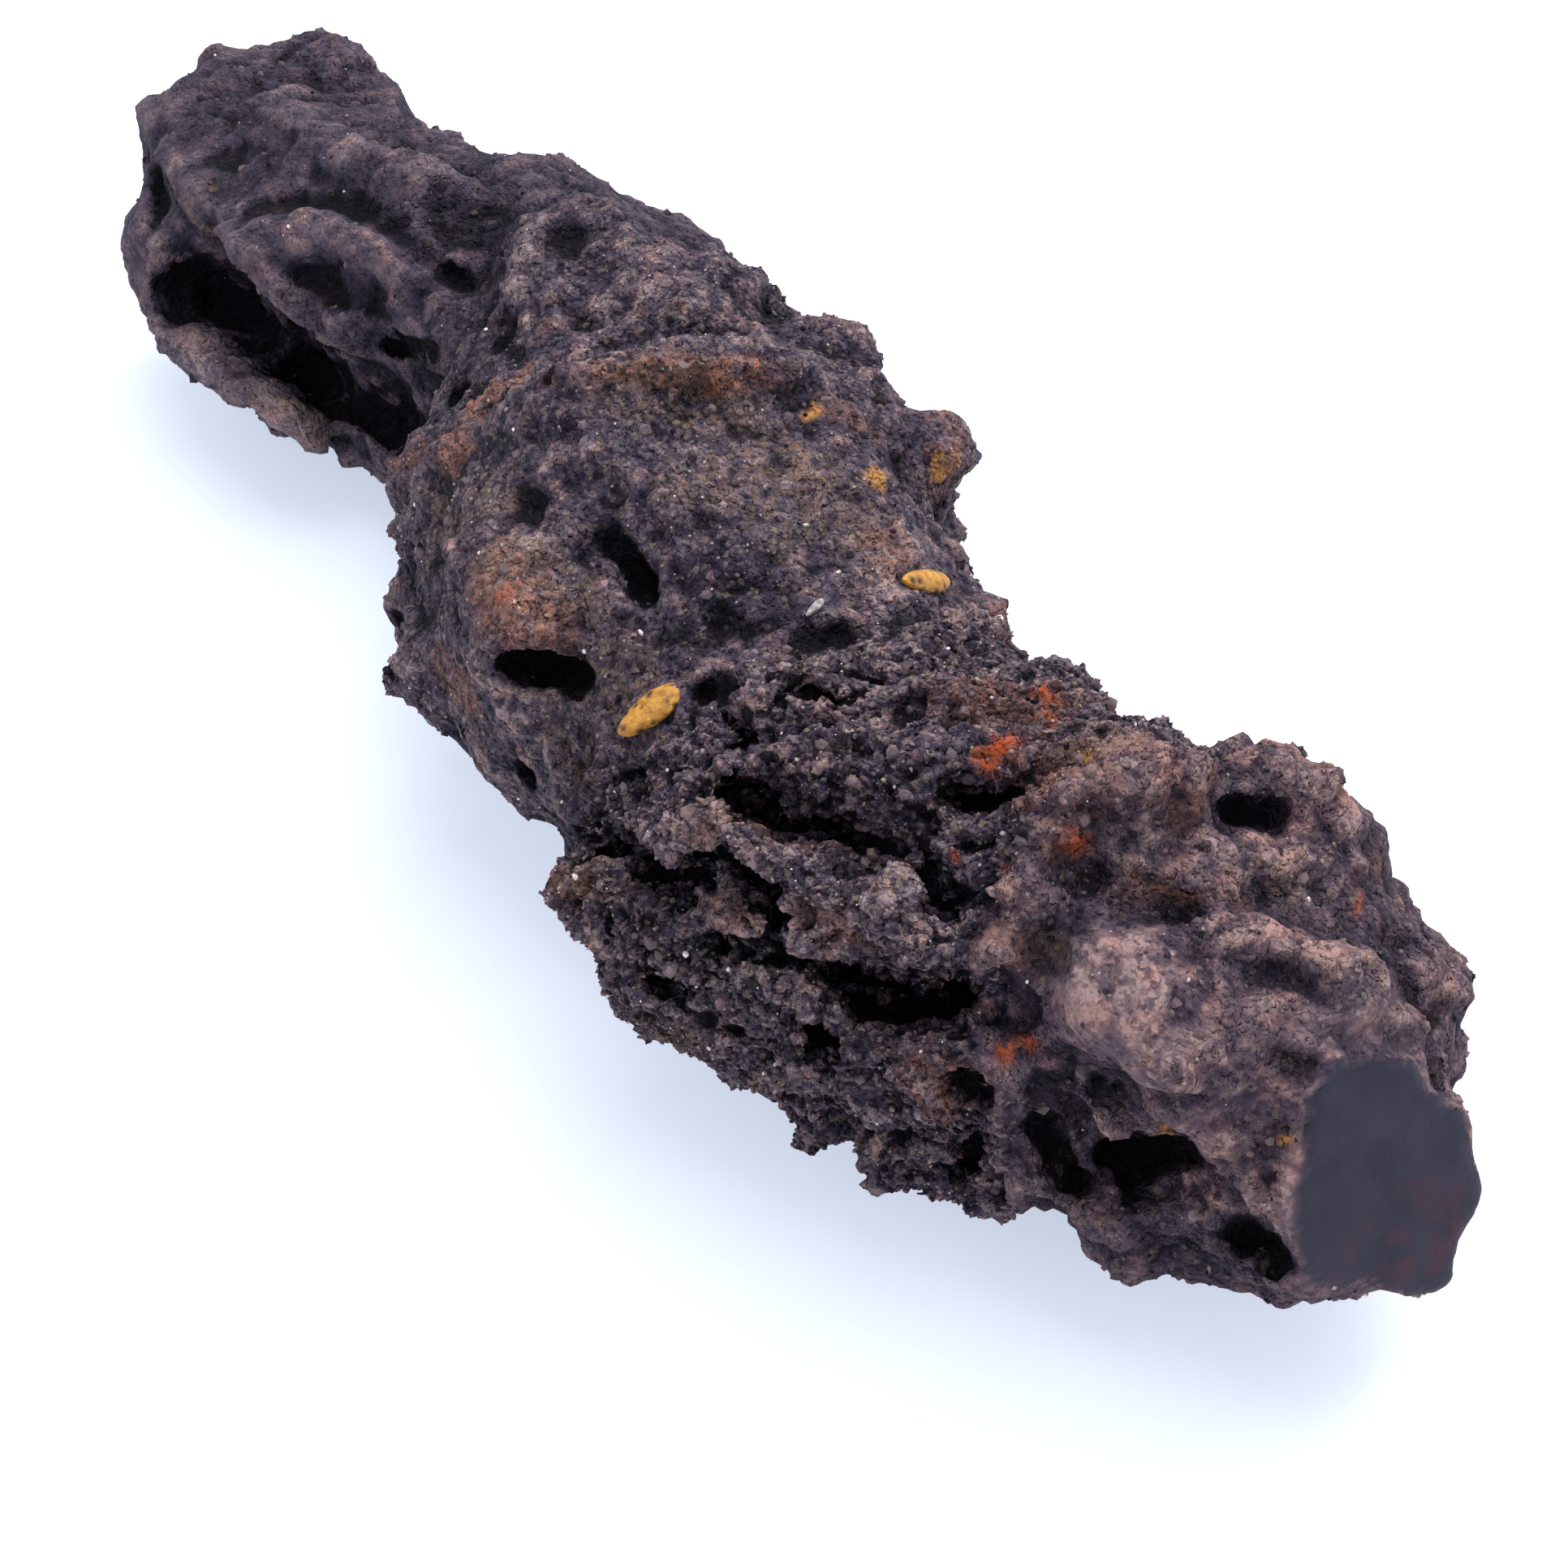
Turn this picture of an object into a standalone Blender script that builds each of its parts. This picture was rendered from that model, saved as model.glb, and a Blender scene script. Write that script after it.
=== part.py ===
"""A coprolite: one petrified dropping, lying on its flatter side.

+X runs along it towards its sheared-off tip, +Z is up, and the origin is on the surface that it rests
on, under the middle of its box. The tables are in millimetres, from a point on that surface that the
root then moves, so that the box comes out centred. A place on the body is given by x and by an angle
in degrees, measured round the body's axis from straight up towards -Y.
"""

import math
import random

import bmesh
import bpy
from mathutils import Matrix, Vector, noise
from mathutils.bvhtree import BVHTree

MM = 0.001

# The body's axis: x, y, height.
AXIS = (
    (-44.0, -0.4, 7.2),
    (-38.0, -0.4, 7.4),
    (-31.0, -0.3, 7.4),
    (-25.0, 0.2, 7.5),
    (-18.0, 2.2, 7.9),
    (-13.0, 3.2, 8.0),
    (-7.0, 2.2, 8.6),
    (0.0, 0.4, 9.7),
    (5.5, -0.9, 10.3),
    (9.5, -2.0, 9.5),
    (13.5, -1.6, 8.8),
    (18.0, -2.8, 9.1),
    (23.0, -2.9, 9.1),
    (29.0, -0.2, 9.1),
    (34.0, 2.0, 8.1),
    (40.0, 1.7, 7.3),
    (44.5, 1.8, 7.3),
)

# The swollen lengths that follow one another, each squeezed out over the last. Of each end: its x on
# the axis, its lean (how far x goes on at its top and at its +Y side), and how blunt it is (2 is
# round). Then the radius at some x.
SEGMENTS = {
    "far": (
        (-36.6, 0.0, 0.0, 3.6), (8.0, 0.0, 0.0, 2.0),
        ((-38.0, 6.9), (-31.0, 6.9), (-24.0, 7.0), (-16.0, 7.3), (-9.0, 7.8), (0.0, 8.8), (8.0, 8.8))),
    "belly": (
        (-5.0, 10.4, 3.3, 4.5), (24.0, 0.0, 0.0, 2.2),
        ((-14.0, 8.0), (-7.0, 9.0), (0.0, 9.9), (5.0, 10.4), (9.5, 9.6), (14.0, 9.2), (24.0, 7.6))),
    "folded": (
        (14.2, 4.6, 1.4, 3.4), (38.0, 0.0, 0.0, 2.2),
        ((10.0, 8.8), (14.0, 9.1), (18.0, 9.3), (25.0, 8.8), (30.0, 8.5), (38.0, 6.4))),
    "near": (
        (29.0, -3.9, 0.4, 4.0), (42.9, 0.0, 0.0, 3.0),
        ((26.0, 9.2), (31.0, 8.9), (33.5, 7.9), (36.7, 6.4), (40.0, 4.9), (46.0, 4.5))),
}

# The sheared-off tip: a point on its flat face, and the way that it faces.
TIP_CENTRE = (41.8, 2.1, 7.3)
TIP_FACING = (0.95, 0.02, 0.33)

# What stands proud of the segments. Each: x, angle, length, width, rise, and the turn of its length
# from +X round the body.
LUMPS = {
    "end knob": (-33.0, -42, 5.0, 5.0, 2.6, 0),
    "end brow": (-34.2, 2, 5.0, 5.0, 1.3, 10),
    "end corner": (-34.5, 42, 4.5, 4.0, 1.0, 0),
    "end step": (-28.5, -55, 4.0, 4.0, 1.5, 0),
    "end cheek": (-29.5, 100, 8.0, 7.0, 1.7, 0),
    "lower lip": (-24.0, 112, 17.0, 5.0, 1.8, -4),
    "upper lip": (-22.5, 56, 10.0, 3.0, 1.1, 10),
    "lens": (-18.0, 42, 10.0, 4.5, 1.0, -30),
    "saddle": (-18.0, 14, 7.0, 4.0, 0.9, -10),
    "back of the waist": (-14.0, -50, 12.0, 7.0, 0.3, 0),
    "waist top": (-7.0, 2, 8.5, 6.0, 1.3, -10),
    "waist shoulder": (-2.5, -28, 8.0, 7.0, 1.8, -15),
    "waist block": (-2.5, -56, 5.0, 4.6, 2.4, 20),
    "waist corner": (2.2, -57, 5.0, 4.6, 2.7, 10),
    "rim low": (-5.0, 82, 3.0, 9.0, 0.9, 25),
    "rim middle": (1.5, 48, 3.0, 9.0, 1.1, 35),
    "rim top": (5.5, 18, 3.0, 8.0, 0.9, 25),
    "rim end": (7.5, -14, 3.0, 5.0, 1.1, 5),
    "rim knuckle": (8.5, -32, 3.5, 3.0, 1.0, 0),
    "right bump": (8.5, -62, 5.4, 5.4, 2.2, 0),
    "left bump": (0.0, 98, 7.0, 6.0, 0.3, 0),
    "left flank": (6.0, 108, 10.0, 7.0, 0.5, 0),
    "rust hump": (9.5, 57, 4.5, 3.5, 0.9, 20),
    "shoulder": (19.0, 92, 8.0, 6.0, 0.7, -5),
    "upper fold": (22.0, 38, 5.5, 2.6, 1.0, -45),
    "top fold": (25.5, 24, 6.0, 2.6, 1.0, -30),
    "crest fold": (24.0, 0, 5.0, 2.6, 0.6, -40),
    "slab": (24.3, 50, 7.5, 2.2, 1.2, -25),
    "hump": (28.0, 54, 6.5, 3.0, 1.0, -20),
    "lower fold": (26.0, 71, 6.5, 2.4, 1.0, -5),
    "flank slab": (31.0, 82, 5.0, 4.0, 0.9, 0),
    "flank fold": (27.0, 88, 6.0, 2.4, 0.8, -5),
    "under shoulder": (22.0, 120, 6.0, 5.0, 0.4, 0),
    "under fold": (31.0, 116, 8.0, 5.0, 0.5, 0),
    "near rim top": (30.0, 5, 2.4, 7.0, 0.9, 5),
    "near rim side": (30.5, 36, 2.4, 6.0, 0.8, -10),
    "near rim low": (32.0, 64, 2.4, 6.0, 0.9, -10),
    "near shoulder": (31.9, -33, 4.0, 6.0, 0.9, 10),
    "big lump": (34.3, 40, 5.2, 4.6, 1.3, -40),
    "near ridge": (36.5, 8, 2.6, 6.0, 0.9, 30),
    "tip ridge": (37.5, 15, 2.6, 9.0, 0.8, 10),
    "near foot": (35.4, 110, 5.0, 5.0, 0.9, 0),
    "near bead": (36.2, 66, 2.6, 2.4, 0.7, 0),
}

# What is hollowed out of it, written the same way, with a depth for the rise.
HOLLOWS = {
    "groove head": (-25.0, 74, 4.5, 2.6, 2.4, 35),
    "groove": (-20.5, 82, 10.0, 3.0, 2.8, 6),
    "groove tail": (-11.5, 83, 11.0, 3.4, 2.6, -8),
    "end notch": (-35.0, 26, 3.0, 2.0, 1.2, 0),
    "end pit": (-26.0, 34, 3.6, 2.2, 0.7, -30),
    "dark curve": (-12.5, 26, 8.0, 2.0, 1.3, 12),
    "curve pit": (-9.6, 34, 2.2, 2.0, 2.0, 0),
    "waist pit": (-9.2, 57, 3.4, 2.0, 2.2, -15),
    "rim pit": (-4.3, 55, 2.0, 2.0, 1.8, 0),
    "rim pit above": (-3.8, 35, 1.8, 1.8, 1.6, 0),
    "under the rim": (2.5, 5, 2.0, 9.0, 1.2, 30),
    "left eye": (3.0, 66, 3.0, 1.6, 1.2, -15),
    "bowl": (8.0, 42, 2.6, 2.6, 0.8, 0),
    "slot": (12.0, 34, 4.6, 1.6, 2.2, 8),
    "cave": (11.8, 61, 4.2, 1.5, 2.0, -35),
    "cave below": (11.8, 88, 2.0, 1.6, 1.3, 0),
    "knuckle shade": (9.8, -12, 2.4, 2.0, 0.9, 0),
    "neck": (16.5, 20, 3.0, 7.0, 0.9, 20),
    "neck low": (14.2, 75, 2.6, 6.0, 1.0, 15),
    "fold gap": (21.5, 30, 6.0, 1.4, 1.2, -10),
    "top gap": (22.5, 13, 5.0, 1.8, 1.0, -5),
    "slab gap": (24.8, 41, 5.0, 1.8, 2.0, -12),
    "slab gap low": (22.8, 64, 5.0, 1.4, 1.5, -22),
    "hump gap": (25.8, 62, 3.4, 1.6, 1.6, -15),
    "fold gap low": (25.3, 77, 4.6, 1.2, 1.3, -10),
    "deep gap": (29.8, 66, 5.6, 2.4, 2.4, -22),
    "rim shade": (28.6, 19, 4.4, 1.4, 0.9, -35),
    "rim shade low": (29.2, 46, 3.2, 1.0, 1.0, 20),
    "flank gap": (25.0, 92, 6.0, 1.4, 1.3, 0),
    "under strip": (28.0, 106, 7.0, 1.6, 1.4, 10),
    "under strip near": (31.5, 112, 4.5, 1.4, 1.3, -10),
    "near crack": (34.6, 84, 4.4, 1.4, 2.0, 55),
    "near pit": (32.7, -10, 4.0, 1.4, 1.2, -75),
    "near pit small": (32.0, 26, 1.6, 1.4, 1.0, 0),
    "ledge pit": (34.2, 18, 2.0, 1.6, 1.1, -25),
    "beside the lump": (36.4, 34, 3.4, 2.2, 0.8, 40),
    "below the lump": (35.4, 58, 1.8, 1.6, 1.6, 0),
    "behind the lump": (32.8, 58, 2.4, 1.8, 1.5, 30),
    "near cave": (37.4, 72, 3.6, 2.6, 2.0, 0),
    "tip cave": (40.0, 78, 2.4, 2.0, 1.5, 0),
}

# The +Y side and the underside carry lumps and hollows of the same kinds, strewn at random between two
# places. Width goes with length, and rise or depth with width.
STREWN_LUMPS = 34
STREWN_HOLLOWS = 30
STREWN_FROM = (-34.0, -178.0)
STREWN_TO = (38.0, -72.0)
STREWN_LENGTH = (2.5, 7.0)
STREWN_WIDTH = (0.4, 0.8)
STREWN_RISE = 0.4
STREWN_DEPTH = 0.45
STREWN_TURN = 60.0
STREWN_SEED = 11

# How the skin is drawn out of true, and its own relief as pairs of size and height.
WARP_SIZE = 2.8
WARP = 0.75
WARP_SEED = 5
RELIEF = ((4.2, 0.7), (2.1, 0.5))

# The folds across the folded length: they lean back with height, bend, and fade in patches.
FOLD_SPACING = 2.6
FOLD_HEIGHT = 0.8
FOLD_LEAN = 0.45
FOLD_BEND, FOLD_BEND_SIZE = 1.6, 5.0
FOLD_PATCH_SIZE = 6.5
FOLDED_FROM, FOLDED_TO = 14.0, 31.0
FOLDED_FADE = 2.0

SEGMENT_SIDES, SEGMENT_RINGS = 72, 64
BALL_SUBDIVISIONS = 3
SKIN_VOXEL = 0.42
TRIANGLES = 9400
OUTSIDE = 40.0
TIP_BLOCK = 30.0
FLOOR_BLOCK = 120.0


def clear_scene():
    for obj in list(bpy.data.objects):
        bpy.data.objects.remove(obj, do_unlink=True)


def collection(name):
    group = bpy.data.collections.new(name)
    bpy.context.scene.collection.children.link(group)
    return group


def between(rows, x):
    """The row of a table at x, on a smooth curve through its rows."""
    if x <= rows[0][0]:
        return rows[0][1:]
    if x >= rows[-1][0]:
        return rows[-1][1:]
    i = max(k for k in range(len(rows) - 1) if rows[k][0] <= x)
    before, start = rows[max(i - 1, 0)], rows[i]
    end, after = rows[i + 1], rows[min(i + 2, len(rows) - 1)]
    t = (x - start[0]) / (end[0] - start[0])
    return tuple(
        0.5 * (2 * b + (c - a) * t + (2 * a - 5 * b + 4 * c - d) * t**2 + (3 * b - a - 3 * c + d) * t**3)
        for a, b, c, d in zip(before[1:], start[1:], end[1:], after[1:]))


def axis_at(x):
    return Vector((x, *between(AXIS, x)))


def outward(angle):
    return Vector((0.0, -math.sin(math.radians(angle)), math.cos(math.radians(angle))))


def add_segment(bm, far, near, radii):
    """A sphere stretched from one end to the other, as thick as the radii say."""
    ball = bmesh.ops.create_uvsphere(
        bm, u_segments=SEGMENT_SIDES, v_segments=SEGMENT_RINGS, radius=1.0)
    for vert in ball["verts"]:
        along = max(-1.0, min(1.0, vert.co.z))
        across = Vector((0.0, vert.co.x, vert.co.y))
        if across.length > 0:
            across.normalize()
        end_x, lean_up, lean_side, blunt = near if along > 0 else far
        taper = (1 - abs(along) ** blunt) ** (1 / blunt)
        x = far[0] + (near[0] - far[0]) * (along + 1) / 2
        x += (across.z * lean_up + across.y * lean_side) * taper * abs(along)
        vert.co = (axis_at(x) + across * between(radii, x)[0] * taper) * MM


def bare_segments():
    bm = bmesh.new()
    for far, near, radii in SEGMENTS.values():
        add_segment(bm, far, near, radii)
    return bm


def segments_tree():
    """The bare segments, to find where their surface lies."""
    bm = bare_segments()
    tree = BVHTree.FromBMesh(bm)
    bm.free()
    return tree


def seat(tree, x, angle, length, width, rise, turn):
    """Takes a unit ball to an ellipsoid whose middle lies on the surface at x and angle."""
    up = outward(angle)
    point = tree.ray_cast((axis_at(x) + up * OUTSIDE) * MM, -up)[0]
    around = outward(angle + 90)
    forward = Vector((1.0, 0.0, 0.0)) * math.cos(math.radians(turn)) + around * math.sin(math.radians(turn))
    side = up.cross(forward)
    turned = Matrix((forward, side, up)).transposed().to_4x4()
    size = Matrix.Diagonal((length / 2 * MM, width / 2 * MM, rise * MM, 1.0))
    return Matrix.Translation(point) @ turned @ size


def add_balls(bm, tree, rows):
    """Ellipsoids seated on the segments, one for each row."""
    for row in rows:
        bmesh.ops.create_icosphere(
            bm, subdivisions=BALL_SUBDIVISIONS, radius=1.0, matrix=seat(tree, *row))


def strewn(count, rise, chance):
    """Rows like those of the tables, at random places."""
    rows = []
    for _ in range(count):
        x = chance.uniform(STREWN_FROM[0], STREWN_TO[0])
        angle = chance.uniform(STREWN_FROM[1], STREWN_TO[1])
        length = chance.uniform(*STREWN_LENGTH)
        width = length * chance.uniform(*STREWN_WIDTH)
        turn = chance.uniform(-STREWN_TURN, STREWN_TURN)
        rows.append((x, angle, length, width, width * rise, turn))
    return rows


def new_object(name, bm, group):
    bmesh.ops.recalc_face_normals(bm, faces=bm.faces)
    mesh = bpy.data.meshes.new(name)
    bm.to_mesh(mesh)
    bm.free()
    obj = bpy.data.objects.new(name, mesh)
    group.objects.link(obj)
    return obj


def one_skin(obj):
    """Melts overlapping solids together."""
    remesh = obj.modifiers.new("one skin", "REMESH")
    remesh.mode = "VOXEL"
    remesh.voxel_size = SKIN_VOXEL * MM


def make_cutter(obj):
    obj.hide_render = True
    obj.display_type = "WIRE"


def cut(obj, cutter):
    boolean = obj.modifiers.new(cutter.name, "BOOLEAN")
    boolean.operation = "DIFFERENCE"
    boolean.solver = "EXACT"
    boolean.object = cutter


def relief(point):
    """How far the surface stands out at a point in millimetres, from its folds and small lumps."""
    height = 0.0
    for size, rise in RELIEF:
        height += rise * noise.noise(point / size)
    inside = min(point.x - FOLDED_FROM, FOLDED_TO - point.x)
    folded = min(1.0, max(0.0, inside / FOLDED_FADE))
    bent = point.x - FOLD_LEAN * point.z + FOLD_BEND * noise.noise(point / FOLD_BEND_SIZE)
    wave = 1 - 2 * abs(math.sin(math.pi * bent / FOLD_SPACING))
    return height + folded * FOLD_HEIGHT * wave * (0.5 + noise.noise(point / FOLD_PATCH_SIZE))


def piece_from(seed):
    """All the vertices that are joined to one, itself included."""
    found = {seed}
    ends = [seed]
    while ends:
        for edge in ends.pop().link_edges:
            for vert in edge.verts:
                if vert not in found:
                    found.add(vert)
                    ends.append(vert)
    return found


def evaluated_mesh(obj):
    """What an object's modifiers make of it, without any crumb that they left loose."""
    mesh = bpy.data.meshes.new_from_object(obj.evaluated_get(bpy.context.evaluated_depsgraph_get()))
    bm = bmesh.new()
    bm.from_mesh(mesh)
    left = set(bm.verts)
    pieces = []
    while left:
        pieces.append(piece_from(next(iter(left))))
        left -= pieces[-1]
    pieces.sort(key=len)
    for crumb in pieces[:-1]:
        bmesh.ops.delete(bm, geom=list(crumb), context="VERTS")
    bm.to_mesh(mesh)
    bm.free()
    return mesh


def smooth_body(group, tree, lumps, hollows):
    """The segments with their lumps added and the hollows taken out."""
    bm = bare_segments()
    add_balls(bm, tree, lumps)
    obj = new_object("smooth", bm, group)
    one_skin(obj)
    bm = bmesh.new()
    add_balls(bm, tree, hollows)
    cutter = new_object("hollows", bm, group)
    one_skin(cutter)
    make_cutter(cutter)
    cut(obj, cutter)
    one_skin(obj)
    mesh = evaluated_mesh(obj)
    bpy.data.objects.remove(obj, do_unlink=True)
    return mesh


def weathered(mesh, group):
    """The body with its skin drawn out of true and its relief worked in."""
    moves = []
    for vert in mesh.vertices:
        point = vert.co / MM
        drawn = noise.noise_vector(point / WARP_SIZE) * WARP
        moves.append((drawn + vert.normal * relief(point)) * MM)
    for vert, move in zip(mesh.vertices, moves):
        vert.co += move
    drawn_body = bpy.data.objects.new("drawn", mesh)
    group.objects.link(drawn_body)
    one_skin(drawn_body)
    skin = evaluated_mesh(drawn_body)
    bpy.data.objects.remove(drawn_body, do_unlink=True)
    skin.name = "coprolite"
    obj = bpy.data.objects.new("coprolite", skin)
    group.objects.link(obj)
    return obj


def block_cutter(name, group, face_centre, facing, size):
    """A cube that takes off whatever lies beyond one of its faces."""
    facing = Vector(facing).normalized()
    bm = bmesh.new()
    turned = facing.to_track_quat("Z", "Y").to_matrix().to_4x4()
    place = Matrix.Translation((Vector(face_centre) + facing * size / 2) * MM) @ turned
    bmesh.ops.create_cube(bm, size=size * MM, matrix=place)
    obj = new_object(name, bm, group)
    make_cutter(obj)
    return obj


def thin_out(obj, triangles):
    """Brings the mesh down to about this many triangles."""
    shape = obj.evaluated_get(bpy.context.evaluated_depsgraph_get()).to_mesh()
    shape.calc_loop_triangles()
    decimate = obj.modifiers.new("thin out", "DECIMATE")
    decimate.ratio = triangles / len(shape.loop_triangles)
    decimate.use_collapse_triangulate = True


def centre_under(root, obj):
    """Moves the root so that the middle of the object's box lies over the origin."""
    bpy.context.view_layer.update()
    shape = obj.evaluated_get(bpy.context.evaluated_depsgraph_get()).to_mesh()
    xs, ys = ([vert.co[i] for vert in shape.vertices] for i in (0, 1))
    root.location = (-(min(xs) + max(xs)) / 2, -(min(ys) + max(ys)) / 2, 0.0)


def stone():
    material = bpy.data.materials.new("ironstone")
    material.use_nodes = True
    shader = material.node_tree.nodes["Principled BSDF"]
    shader.inputs["Base Color"].default_value = (0.065, 0.05, 0.058, 1.0)
    shader.inputs["Roughness"].default_value = 0.78
    shader.inputs["Metallic"].default_value = 0.0
    return material


def main():
    clear_scene()
    noise.seed_set(WARP_SEED)
    parts = collection("coprolite")
    cutters = collection("cutters")
    tree = segments_tree()
    chance = random.Random(STREWN_SEED)
    lumps = [*LUMPS.values(), *strewn(STREWN_LUMPS, STREWN_RISE, chance)]
    hollows = [*HOLLOWS.values(), *strewn(STREWN_HOLLOWS, STREWN_DEPTH, chance)]
    coprolite = weathered(smooth_body(cutters, tree, lumps, hollows), parts)
    cut(coprolite, block_cutter("tip", cutters, TIP_CENTRE, TIP_FACING, TIP_BLOCK))
    thin_out(coprolite, TRIANGLES)
    cut(coprolite, block_cutter("floor", cutters, (0.0, 0.0, 0.0), (0.0, 0.0, -1.0), FLOOR_BLOCK))
    root = bpy.data.objects.new("root", None)
    parts.objects.link(root)
    for obj in (coprolite, *cutters.objects):
        obj.parent = root
    centre_under(root, coprolite)
    coprolite.data.materials.clear()
    coprolite.data.materials.append(stone())
    coprolite.data.shade_smooth()


main()
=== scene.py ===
"""The coprolite dressed for its picture: its pitted skin, the sand and crumbs grown into it, the floor,
the light and the camera.

Lengths in the tables are in millimetres in the object's frame, and places are pixels of the 1932 x 1932
photograph, laid on the skin along the camera's rays.
"""

import math
import random

import bmesh
import bpy
import numpy as np
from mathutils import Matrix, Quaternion, Vector, noise
from mathutils.bvhtree import BVHTree


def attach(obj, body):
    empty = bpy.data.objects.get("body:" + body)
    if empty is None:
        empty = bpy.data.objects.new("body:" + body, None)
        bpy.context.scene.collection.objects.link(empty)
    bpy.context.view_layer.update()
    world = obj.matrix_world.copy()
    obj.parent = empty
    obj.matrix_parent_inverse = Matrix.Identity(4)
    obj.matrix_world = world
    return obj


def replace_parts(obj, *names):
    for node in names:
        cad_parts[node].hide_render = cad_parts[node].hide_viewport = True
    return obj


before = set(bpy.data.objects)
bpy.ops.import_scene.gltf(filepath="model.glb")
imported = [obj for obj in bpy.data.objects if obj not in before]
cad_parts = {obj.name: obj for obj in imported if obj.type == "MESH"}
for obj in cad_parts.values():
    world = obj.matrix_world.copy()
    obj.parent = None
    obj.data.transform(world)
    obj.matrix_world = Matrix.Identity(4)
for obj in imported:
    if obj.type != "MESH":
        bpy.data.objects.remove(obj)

MM = 0.001
TINY = 1e-9
BODY = "root"
NODE = "coprolite"
SEED = 7

PHOTO = 1932
CAMERA_AT = Vector((77.57, -44.02, 74.99))
CAMERA_TO = Vector((14.69, -3.58, 10.0))
FIELD_OF_VIEW = 30.0

# The flat face of the sheared-off tip: a point on it, and the way that it faces.
TIP_CENTRE = Vector((39.147, 2.767, 7.3))
TIP_FACING = Vector((0.95, 0.02, 0.33)).normalized()

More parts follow.
